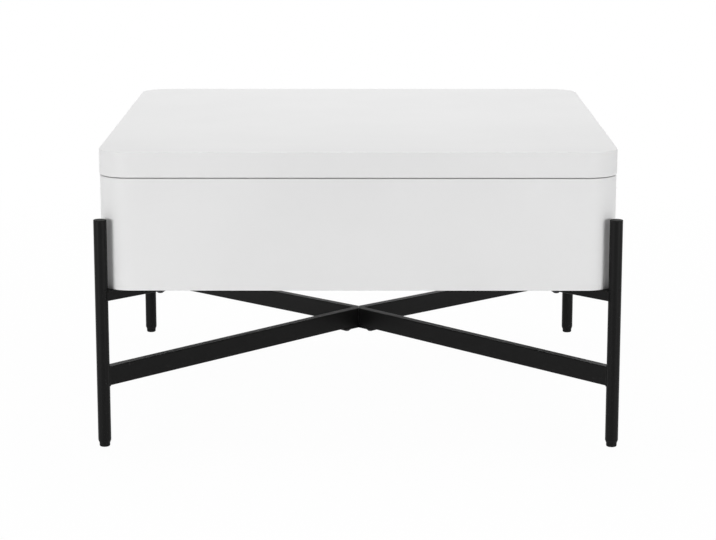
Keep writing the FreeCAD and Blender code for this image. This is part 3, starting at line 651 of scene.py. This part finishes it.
def wind_thread(bm, low, high):
    """Spin a closed tooth up a stud. Its inner edge lies a little below the root."""
    inner = STUD_ROOT - THREAD_SINK
    outline = [(inner, 0.02), (STUD_CREST, 0.44), (STUD_CREST, 0.56), (inner, 0.98)]
    verts = [bm.verts.new((radius, 0, low + share * STUD_PITCH)) for radius, share in outline]
    tooth = bm.faces.new(verts)
    turns = int((high - low) / STUD_PITCH) - 1
    bmesh.ops.spin(
        bm, geom=[tooth, *tooth.verts, *tooth.edges], axis=(0, 0, 1), cent=(0, 0, 0),
        dvec=(0, 0, STUD_PITCH / THREAD_STEPS), angle=math.tau * turns, steps=THREAD_STEPS * turns,
    )
    bmesh.ops.holes_fill(bm, edges=open_edges(bm))
    close_up(bm)


print(f"thread ready, {STUD_PITCH / MM:.2f} mm to a turn")

# %% [markdown]
# ## Levelling feet
# Each foot is a round pad on a threaded stud. Turned by hand, it comes down by up to 8 millimetres
# and makes up for an uneven floor. All four could be one piece, like the caps, but each moves by
# itself, so every foot is made for its own body.

# %% Feet
PAD_ROUNDING = 2.0 * MM
PAD_UPPER_EDGE = 0.5 * MM


def glide(corner):
    node = "levelling_foot_" + corner
    low, high = (place.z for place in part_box(node))
    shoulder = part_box("foot_sockets")[0].z
    bm = turned([
        (0, low), (foot_radius, low), (foot_radius, shoulder),
        (STUD_ROOT, shoulder), (STUD_ROOT, high), (0, high),
    ])
    soften(bm, PAD_ROUNDING, 6, rim_at(foot_radius, low))
    soften(bm, PAD_UPPER_EDGE, 3, rim_at(foot_radius, shoulder))
    wind_thread(bm, shoulder, high)
    place = middle(node)
    bmesh.ops.translate(bm, vec=(place.x, place.y, 0), verts=bm.verts[:])
    return piece(bm, "glide_" + corner, node, PLASTIC, "black_plastic", node)


for corner in CORNERS:
    glide(corner)

# %% [markdown]
# ## A hexagon socket
# The bolts are tightened with a hexagon key, so each head has a six-sided socket. A boolean could
# cut it, but it leaves long thin triangles that shade badly. So a head is turned with an open end.
# A hexagon is cut into as many edges as the open rim has, the two loops are bridged, and the
# hexagon is pushed into the head.

# %% Hexagon socket
KEY_RADIUS = 2.3 * MM
KEY_DEPTH = 2.0 * MM
KEY_SIDES = 6


def wire_edges(bm):
    return [edge for edge in bm.edges if edge.is_wire]


def push_in(bm, depth, narrowing=1.0):
    """Sink the open outline in a head, and close it with a flat bottom."""
    made = bmesh.ops.extrude_edge_only(bm, edges=open_edges(bm))["geom"]
    verts = only_verts(made)
    bmesh.ops.translate(bm, vec=(0, 0, depth), verts=verts)
    bmesh.ops.scale(bm, vec=(narrowing, narrowing, 1), verts=verts)
    bmesh.ops.edgeloop_fill(bm, edges=open_edges(bm))
    close_up(bm)


def key_socket(bm, height):
    """Close an open round end that looks down with a hexagon socket."""
    rim = open_edges(bm)
    level = Matrix.Translation((0, 0, height))
    bmesh.ops.create_circle(bm, segments=KEY_SIDES, radius=KEY_RADIUS, matrix=level)
    bmesh.ops.subdivide_edges(bm, edges=wire_edges(bm), cuts=ROUND_STEPS // KEY_SIDES - 1)
    bmesh.ops.bridge_loops(bm, edges=rim + wire_edges(bm))
    push_in(bm, KEY_DEPTH)


print(f"hexagon socket ready, {KEY_DEPTH / MM:.1f} mm deep")

# %% [markdown]
# ## Bolts
# Button-head bolts hold the case on its brackets and the X together. All heads point down, where a
# hand with a key can reach them. A wide bevel could round a head, but it would have to end at the
# rim of the socket. So points along a quarter of an ellipse go into the profile, and only the thin
# flange gets a bevel.

# %% Bolts
BOLT_RADIUS = 3.0 * MM
BOLT_FLANGE_RADIUS = 6.8 * MM
BOLT_FLANGE = 1.0 * MM
BOLT_BUTTON_RADIUS = 5.25 * MM
BOLT_RIM_RADIUS = 2.9 * MM
BOLT_HEAD = 3.3 * MM
BOLT_FLANGE_EDGE = 0.3 * MM
BOLT_CHAMFER = 0.6 * MM
DOME_STEPS = 6


def dome(rim, crown, low, high):
    """Profile points that curve from an upright rim in to a flat crown."""
    angles = [math.radians(90) * step / DOME_STEPS for step in range(DOME_STEPS + 1)]
    return [(crown + (rim - crown) * math.cos(a), low + (high - low) * math.sin(a)) for a in angles]


def bolt_set(node, name):
    low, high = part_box(node)
    seat = low.z + BOLT_HEAD
    foot = seat - BOLT_FLANGE
    bm = turned([
        (0, high.z), (BOLT_RADIUS - BOLT_CHAMFER, high.z), (BOLT_RADIUS, high.z - BOLT_CHAMFER),
        (BOLT_RADIUS, seat), (BOLT_FLANGE_RADIUS, seat), (BOLT_FLANGE_RADIUS, foot),
        *dome(BOLT_BUTTON_RADIUS, BOLT_RIM_RADIUS, foot, low.z),
    ])
    soften(bm, BOLT_FLANGE_EDGE, 3, rim_at(BOLT_FLANGE_RADIUS, foot))
    key_socket(bm, low.z)
    set_out(bm, at_corners(high.x - BOLT_FLANGE_RADIUS))
    return piece(bm, name, "root", BLACK_ZINC, "black_zinc", node)


bolt_set("cross_bolts", "crossing_bolts")
bolt_set("bracket_bolts", "corner_bolts")

# %% [markdown]
# ## Washers
# A thick washer at the head of each corner bolt spreads its pull over the thin wall of the bracket.
# A cylinder with a hole cut by a boolean would do, but a ring turned from four points has clean
# faces, and its edges soften evenly.

# %% Washers
WASHER_PLAY = 0.3 * MM
WASHER_EDGE = 0.5 * MM


def washer_set():
    low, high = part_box("bracket_washers")
    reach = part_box("bracket_bolts")[1].x - BOLT_FLANGE_RADIUS
    hole = BOLT_RADIUS + WASHER_PLAY
    outside = high.x - reach
    bm = turned([(hole, low.z), (outside, low.z), (outside, high.z), (hole, high.z)], ring=True)
    soften(bm, WASHER_EDGE, 3)
    set_out(bm, at_corners(reach))
    return piece(bm, "washer_set", "root", BLACK_ZINC, "black_zinc", "bracket_washers")


washer_set()

# %% [markdown]
# ## Softened copies of cut and moulded parts
# Plates and rails that are cut from sheet, and the plugs in the brackets, have the right shape in
# the CAD but razor edges. Drawing them again would risk another outline. Instead a copy of the CAD
# mesh is merged, its flat triangles are dissolved into whole faces, and its edges are rounded by a
# few tenths of a millimetre, as tumbling after the cut leaves them.

# %% Plugs, crossing plate and lift fitting
CAD_MERGE = 0.005 * MM
FLAT = math.radians(1)
BRACKET_PLUG_EDGE = 0.6 * MM
CROSSING_EDGE = 0.5 * MM
SHEET_EDGE = 0.4 * MM


def softened_copy(node, width, segments=2):
    bm = bmesh.new()
    bm.from_mesh(frame["nodes"][node].data)
    bmesh.ops.remove_doubles(bm, verts=bm.verts[:], dist=CAD_MERGE)
    bmesh.ops.dissolve_limit(bm, angle_limit=FLAT, verts=bm.verts[:], edges=bm.edges[:])
    soften(bm, width, segments)
    return bm


def sheet_piece(node, name, body):
    return piece(softened_copy(node, SHEET_EDGE), name, body, SHEET_STEEL, "fitting_steel", node)


plugs = softened_copy("bracket_plugs", BRACKET_PLUG_EDGE, 3)
piece(plugs, "plug_set", "root", PLASTIC, "black_plastic", "bracket_plugs")
crossing = softened_copy("cross_plate", CROSSING_EDGE)
piece(crossing, "crossing_plate", "root", POWDER_COAT, "black_powder_coat", "cross_plate")
for side in SIDES:
    sheet_piece("lift_plate_" + side, "side_plate_" + side, "root")
    sheet_piece("lid_rail_" + side, "angle_rail_" + side, "lid")
    for which in ("front", "rear"):
        arm = f"{which}_arm_{side}"
        sheet_piece(arm, f"swing_arm_{which}_{side}", arm)

# %% [markdown]
# ## Pivot rivets
# The arms swing on shouldered rivets. Those in the side plates have their heads on the inside, and
# those in the rails on the outside, so that neither runs into an arm. A shallow dimple in each head
# is left by the riveting tool. A left and a right set could be made one after the other, but they
# are mirror images, so a list of places, made for both walls at once, lays one turned shape on its
# side.

# %% Rivets
RIVET_HEAD_RADIUS = 6.5 * MM
RIVET_HEAD = 1.5 * MM
RIVET_RADIUS = 4.0 * MM
RIVET_CHAMFER = 0.4 * MM
RIVET_DIMPLE = 0.4 * MM
RIVET_CROWN_RADIUS = 2.0 * MM
RIVET_RIM = 0.5 * MM
HEAD_GAP = 0.3 * MM
SHEET = 3.0 * MM
arm_low, arm_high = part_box("rear_arm_right")
plate_low, plate_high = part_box("lift_plate_right")
rail_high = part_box("lid_rail_right")[1]


def on_both_sides(x, ys, zs, inward):
    """Places on both side walls for a shape that points up, turned to point inwards or outwards."""
    lay = math.radians(-90 if inward else 90)
    return [
        Matrix.Translation((side * x, y, z)) @ Matrix.Rotation(lay * side, 4, "Y")
        for side in SIDES.values() for y in ys for z in zs
    ]


def rivet_set(node, name, body, seat, end, inward):
    low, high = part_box(node)
    length = abs(end - seat)
    bm = turned([
        (0, -length), (RIVET_RADIUS - RIVET_CHAMFER, -length), (RIVET_RADIUS, RIVET_CHAMFER - length),
        (RIVET_RADIUS, 0), (RIVET_HEAD_RADIUS, 0),
        *dome(RIVET_HEAD_RADIUS, RIVET_CROWN_RADIUS, RIVET_RIM, RIVET_HEAD),
        (0, RIVET_HEAD - RIVET_DIMPLE),
    ])
    ys = (low.y + RIVET_HEAD_RADIUS, high.y - RIVET_HEAD_RADIUS)
    set_out(bm, on_both_sides(seat, ys, [middle(node).z], inward))
    return piece(bm, name, body, BRIGHT_ZINC, "bright_zinc", node)


rivet_set("plate_pivot_pins", "plate_rivets", "root", arm_low.x - HEAD_GAP, plate_high.x, True)
rivet_set("rail_pivot_pins", "rail_rivets", "lid", arm_high.x + HEAD_GAP, rail_high.x - SHEET, False)

# %% [markdown]
# ## Stop studs
# When the lid is up, the front arms come to rest against a short stud on each side plate. A plain
# cylinder would look cut off, because a stud like this has a rounded end, so its profile ends in a
# low dome.

# %% Stops
STOP_ROUNDING = 0.8 * MM


def stop_studs():
    low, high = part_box("stop_pins")
    radius = (high.y - low.y) / 2
    height = plate_low.x - arm_low.x
    crown = dome(radius, radius - STOP_ROUNDING, height - STOP_ROUNDING, height)
    bm = turned([(0, 0), (radius, 0), *crown, (0, height)])
    place = middle("stop_pins")
    set_out(bm, on_both_sides(plate_low.x, [place.y], [place.z], True))
    return piece(bm, "stop_studs", "root", BRIGHT_ZINC, "bright_zinc", "stop_pins")


stop_studs()

# %% [markdown]
# ## A cross recess
# A screw head has a cross that narrows as it goes down, to fit the tip of a driver. A boolean could
# cut the cross, with the same poor triangles as for a hexagon. So a screw is turned with an open
# head, a quarter of a cross is drawn with four points and spun four times, the flat face between
# the cross and the rim is filled, and the cross is pushed in and narrowed.

# %% Cross recess
CROSS_REACH = 1.7 * MM
CROSS_HALF = 0.45 * MM
CROSS_DEPTH = 1.2 * MM
CROSS_NARROWING = 0.6
CROSS_MERGE = 0.01 * MM


def cross_recess(bm, height):
    """Close an open round head that looks up with a cross recess."""
    rim = open_edges(bm)
    reach, half = CROSS_REACH, CROSS_HALF
    arm = [(reach, -half), (reach, half), (half, half), (half, reach)]
    quarter = [bm.verts.new((x, y, height)) for x, y in arm]
    lines = [bm.edges.new(pair) for pair in zip(quarter, quarter[1:])]
    bmesh.ops.spin(
        bm, geom=quarter + lines, axis=(0, 0, 1), cent=(0, 0, 0),
        angle=math.tau, steps=4, use_duplicate=True,
    )
    drawn = [vert for vert in bm.verts if vert.is_wire]
    bmesh.ops.remove_doubles(bm, verts=drawn, dist=CROSS_MERGE)
    bmesh.ops.triangle_fill(bm, use_beauty=True, edges=rim + wire_edges(bm), normal=(0, 0, 1))
    push_in(bm, -CROSS_DEPTH, CROSS_NARROWING)


print(f"cross recess ready, {CROSS_DEPTH / MM:.1f} mm deep")

# %% [markdown]
# ## Countersunk screws
# Countersunk screws hold the side plates to the walls. Their heads lie flush with the sheet, so
# that the arms swing past them. A cone and a cylinder could be joined, but one profile gives the
# point, the shank and the head without a seam.

# %% Countersunk screws
SCREW_RADIUS = 2.0 * MM
SCREW_HEAD_RADIUS = 4.0 * MM
SCREW_HEAD = 2.0 * MM
SCREW_POINT = 3.0 * MM
COUNTERSUNK_EDGE = 0.15 * MM


def plate_screw_set():
    low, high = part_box("plate_screws")
    length = high.x - plate_low.x
    bm = turned([
        (0, -length), (SCREW_RADIUS, SCREW_POINT - length), (SCREW_RADIUS, -SCREW_HEAD),
        (SCREW_HEAD_RADIUS, -COUNTERSUNK_EDGE), (SCREW_HEAD_RADIUS - COUNTERSUNK_EDGE, 0),
    ])
    cross_recess(bm, 0)
    ys = (low.y + SCREW_HEAD_RADIUS, high.y - SCREW_HEAD_RADIUS)
    zs = (low.z + SCREW_HEAD_RADIUS, high.z - SCREW_HEAD_RADIUS)
    set_out(bm, on_both_sides(plate_low.x, ys, zs, True))
    return piece(bm, "countersunk_screws", "root", BRIGHT_ZINC, "bright_zinc", "plate_screws")


plate_screw_set()

# %% [markdown]
# ## Pan-head screws
# The rails hang from the lid on pan-head screws, driven upwards. They could be countersunk like the
# others, but nothing swings past them, so a plain domed head does. The shank keeps its size, and
# the head with the same recess sits on the rail.

# %% Pan-head screws
PAN_EDGE = 0.3 * MM
CROSS_MARGIN = 0.2 * MM


def rail_screw_set():
    low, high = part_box("rail_screws")
    seat = low.z + SCREW_HEAD
    length = high.z - seat
    bm = turned([
        (0, -length), (SCREW_RADIUS, SCREW_POINT - length), (SCREW_RADIUS, 0), (SCREW_HEAD_RADIUS, 0),
        *dome(SCREW_HEAD_RADIUS, CROSS_REACH + CROSS_MARGIN, PAN_EDGE, SCREW_HEAD),
    ])
    cross_recess(bm, SCREW_HEAD)
    upside_down = Matrix.Rotation(math.pi, 4, "X")
    reach = high.x - SCREW_HEAD_RADIUS
    ys = (low.y + SCREW_HEAD_RADIUS, high.y - SCREW_HEAD_RADIUS)
    spots = [(side * reach, y, seat) for side in SIDES.values() for y in ys]
    set_out(bm, [Matrix.Translation(spot) @ upside_down for spot in spots])
    return piece(bm, "pan_head_screws", "lid", BRIGHT_ZINC, "bright_zinc", "rail_screws")


rail_screw_set()

# %% [markdown]
# ## Rubber bumpers
# Four soft dots on the rim of the case carry the closed lid, deaden the sound and keep the thin
# dark seam open. A squashed sphere would do from afar, but a moulded dot has a short upright edge
# under a low dome, so it is turned like the rest.

# %% Bumpers
BUMPER_RADIUS = 5.0 * MM
BUMPER_EDGE = 0.4 * MM


def bumper_set():
    low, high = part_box("lid_bumpers")
    edge = low.z + BUMPER_EDGE
    bm = turned([(0, low.z), (BUMPER_RADIUS, low.z), *dome(BUMPER_RADIUS, 0, edge, high.z)])
    set_out(bm, at_corners(high.x - BUMPER_RADIUS))
    return piece(bm, "bumper_set", "root", RUBBER, "soft_rubber", "lid_bumpers")


bumper_set()

# %% [markdown]
# ## The path of a weld
# Tubes are welded to the legs all round, so each bead follows the outline of a tube on the round
# surface of a leg. The line where the two meshes meet could be searched for, but it is known: it
# runs at the leg's radius, between two angles and two heights. Points are set along it at an even
# step.

# %% Points round a joint
WELD_STEP = 1.2 * MM


def span(start, end, steps):
    return [start + (end - start) * step / steps for step in range(steps)]


def leg_loop(corner, half_angle, low, high):
    """Points round a joint on a leg: along its lower edge, up, back along its upper edge and down."""
    x, y = CORNERS[corner]
    inward = math.atan2(-y, -x)
    across = round(2 * half_angle * leg_radius / WELD_STEP)
    up = round((high - low) / WELD_STEP)
    outline = [(angle, low) for angle in span(-half_angle, half_angle, across)]
    outline += [(half_angle, height) for height in span(low, high, up)]
    outline += [(angle, high) for angle in span(half_angle, -half_angle, across)]
    outline += [(-half_angle, height) for height in span(high, low, up)]
    return [(
        x * leg_place + leg_radius * math.cos(inward + angle),
        y * leg_place + leg_radius * math.sin(inward + angle), height,
    ) for angle, height in outline]


print(f"weld points every {WELD_STEP / MM:.1f} mm")

# %% [markdown]
# ## Weld beads
# A bead is a chain of small overlapping drops, so it ripples, and the powder coat runs over it.
# Hundreds of spheres could be joined, but a curve with a round bevel is lighter and stays closed:
# each point's radius swells and shrinks a little. All the curves become one mesh at the end. The
# middle of the X has no beads, because its four arms are bolted there.

# %% Weld beads
WELD_RADIUS = 1.3 * MM
WELD_RIPPLE = 0.13
WELD_BEAT = 2.1
TUBE_NARROW = 15.0 * MM
TUBE_WIDE = 30.0 * MM


def add_bead(curve, points):
    spline = curve.splines.new("NURBS")
    spline.points.add(len(points) - 1)
    for number, point in enumerate(spline.points):
        point.co = (*points[number], 1)
        point.radius = 1 + WELD_RIPPLE * math.sin(WELD_BEAT * number)
    spline.order_u = 3
    spline.resolution_u = 2
    spline.use_cyclic_u = True


def weld_beads():
    curve = bpy.data.curves.new("weld_beads", "CURVE")
    curve.dimensions = "3D"
    curve.bevel_depth = WELD_RADIUS
    curve.bevel_resolution = 2
    narrow = math.asin(TUBE_NARROW / 2 / leg_radius)
    for corner in CORNERS:
        stretcher_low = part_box("stretcher_" + corner)[0].z
        add_bead(curve, leg_loop(corner, narrow, stretcher_low, stretcher_low + TUBE_WIDE))
        low, high = (place.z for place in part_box("bracket_" + corner))
        add_bead(curve, leg_loop(corner, math.radians(90), low, high))
    holder = bpy.data.objects.new("weld_beads_curve", curve)
    bm = bmesh.new()
    bm.from_mesh(bpy.data.meshes.new_from_object(holder))
    bpy.data.objects.remove(holder)
    close_up(bm)
    return piece(bm, "weld_beads", "root", POWDER_COAT, "black_powder_coat")


weld_beads()

# %% [markdown]
# ## Rays that look and rays that gather light
# A white studio that is as bright as it looks would flood the table with light and wash out every
# shadow. The picture could be cut out and laid on white afterwards, but then metal would not mirror
# the white. So the Light Path node tells the rays apart: the floor and the world are white only for
# rays that look at them, straight, by reflection or through something clear.

# %% Helpers for the studio
def seen_directly(tree):
    """1 for a camera ray, a reflection or a refraction, and 0 for a ray that gathers light."""
    camera_ray = Socket(tree).node("LightPath", {}, {}, "Is Camera Ray")
    outputs = camera_ray.output.node.outputs
    glossy_ray = Socket(tree, outputs["Is Glossy Ray"])
    through_ray = Socket(tree, outputs["Is Transmission Ray"])
    return camera_ray + glossy_ray + through_ray


def mix_shaders(factor, first, second):
    return factor.node("MixShader", {}, {0: factor, 1: first, 2: second})


print("studio helpers ready")

# %% [markdown]
# ## The look of the floor
# In a studio the floor is as white as the background, with a trace of the shadow. A plain white
# paint would show as grey, because it only returns a part of the light that falls on it. So where
# the camera looks at the floor or sees it in a reflection, it glows almost white, and wholly white
# further out. For the light that it throws up on the table it stays a plain pale floor. From below
# it is clear, so that the underside can be looked at too.

# %% Floor material
FLOOR_LIGHTNESS = 0.88
FLOOR_WHITENESS = 0.975
WHITE_FROM = 0.7
WHITE_TO = 2.2


def floor_material():
    material, place = start_finish("studio_floor")
    tree = material.node_tree
    seen = seen_directly(tree)
    distance = place.node("VectorMath", {"operation": "LENGTH"}, {0: place}, out="Value")
    whiteness = distance.node("MapRange", {}, {
        "Value": distance, "From Min": WHITE_FROM, "From Max": WHITE_TO,
        "To Min": FLOOR_WHITENESS, "To Max": 1.0,
    })
    pale = seen.node("BsdfDiffuse", {}, {"Color": (*grey(FLOOR_LIGHTNESS), 1)})
    white = seen.node("Emission", {}, {"Color": (1, 1, 1, 1), "Strength": 1.0})
    sheet = mix_shaders(whiteness * seen, pale, white)
    below = seen.node("NewGeometry", {}, {}, "Backfacing")
    clear = below.node("BsdfTransparent", {}, {})
    one_sided = mix_shaders(below, sheet, clear)
    one_sided.plug(one_sided, tree.nodes["Material Output"].inputs["Surface"])
    return material


FLOOR_SHEET = floor_material()
print(f"floor wholly white from {WHITE_TO} m out")

# %% [markdown]
# ## Studio floor
# A studio sheet runs up behind the table with no horizon. It could be bent up here as well, but
# from other sides its curve would show, so the floor is flat and very wide. It lies just below the
# feet when they are screwed right down, so that no pose cuts into it.

# %% Floor
FLOOR_HALF = 60.0
FLOOR_GAP = 0.2 * MM
feet_joints = [joint for joint in frame["joints"] if joint["name"].startswith("level_")]
foot_travel = max(joint["range_m"][1] for joint in feet_joints)
floor_height = -foot_travel - FLOOR_GAP


def studio_floor():
    bm = bmesh.new()
    level = Matrix.Translation((0, 0, floor_height))
    bmesh.ops.create_grid(bm, x_segments=1, y_segments=1, size=FLOOR_HALF, matrix=level)
    mesh = bpy.data.meshes.new("studio_floor")
    bm.to_mesh(mesh)
    bm.free()
    mesh.materials.append(FLOOR_SHEET)
    floor = bpy.data.objects.new("studio_floor", mesh)
    scene.collection.objects.link(floor)
    floor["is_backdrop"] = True


studio_floor()
print(f"floor {-floor_height / MM:.1f} mm below the table's own zero")

# %% [markdown]
# ## White world
# Behind the floor the world has to be white as well, or a horizon would show. A plain white world
# would be the shortest way, but it lights the table from all sides. So it is white only for rays
# that look at it, and a dim sky for rays that gather light.

# %% World
SKY_STRENGTH = 0.2


def white_world():
    world = bpy.data.worlds.new("white_world")
    world.use_nodes = True
    tree = world.node_tree
    seen = seen_directly(tree)
    sky = seen.node("Background", {}, {"Color": (1, 1, 1, 1), "Strength": SKY_STRENGTH})
    white = seen.node("Background", {}, {"Color": (1, 1, 1, 1), "Strength": 1.0})
    mixed = mix_shaders(seen, sky, white)
    mixed.plug(mixed, tree.nodes["World Output"].inputs["Surface"])
    scene.world = world


white_world()
print("world: sky strength", SKY_STRENGTH)

# %% [markdown]
# ## Lamps
# One large lamp would leave the legs without a shadow, and a sun would draw it too hard. Two soft
# lamps stand low at the left and the right in front, small enough to draw the legs' narrow shadows
# on the corners of the case, and low enough to light the front evenly. A large panel overhead
# lights the top.

# %% Lamps
LAMP_REACH = 2.1
LAMP_HEIGHT = 0.55
LAMP_WIDTH = 0.7
LAMP_POWER = {"left": 29, "right": 26}
PANEL_PLACE = (0, 0.4, 3.0)
PANEL_WIDTH = 2.5
PANEL_POWER = 63
TABLE_MIDDLE = (0, 0, 0.3)


def lamp(name, place, width, power):
    data = bpy.data.lights.new(name, "AREA")
    data.shape = "SQUARE"
    data.size = width
    data.energy = power
    made = bpy.data.objects.new(name, data)
    made.location = place
    aim = Vector(TABLE_MIDDLE) - Vector(place)
    made.rotation_euler = aim.to_track_quat("-Z", "Y").to_euler()
    scene.collection.objects.link(made)
    print(f"{name}: {width} m wide, {power} W")


for side, x in SIDES.items():
    lamp("lamp_" + side, (x * LAMP_REACH, -LAMP_REACH, LAMP_HEIGHT), LAMP_WIDTH, LAMP_POWER[side])
lamp("lamp_overhead", PANEL_PLACE, PANEL_WIDTH, PANEL_POWER)

# %% [markdown]
# ## Camera
# The camera stands straight in front, half a metre above the table top, with a long lens. It could
# be aimed by eye, but a few millimetres show. So its place, tilt and lens were found by matching
# the legs, feet and edges of the model to the photograph. The lens isn't shifted, so that the table
# stays in the middle from other sides too.

# %% Camera
CAMERA_LENS = 114.01
CAMERA_SENSOR = 36.0
CAMERA_PLACE = (0.0081, -3.7590, 0.9620)
CAMERA_DIP = 11.50
CAMERA_TURN = 0.14

data = bpy.data.cameras.new("camera")
data.lens = CAMERA_LENS
data.sensor_width = CAMERA_SENSOR
camera = bpy.data.objects.new("camera", data)
camera.location = CAMERA_PLACE
camera.rotation_euler = (math.radians(90 - CAMERA_DIP), 0, math.radians(CAMERA_TURN))
scene.collection.objects.link(camera)
scene.camera = camera
scene.view_settings.view_transform = "Standard"
print("camera at", CAMERA_PLACE)

# %% [markdown]
# ## Size
# Roundings and beads must not make the table bigger than it is built. That could be judged by eye,
# but tenths of a millimetre don't show. So the box of the dressed table is set beside the box
# of the CAD, and the growth on each side is printed.

# %% Finish
low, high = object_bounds()
growth = [round((b - a) / MM, 2) for a, b in zip((*cad_low, *cad_high), (*low, *high))]
print("box grew by", growth, "mm")
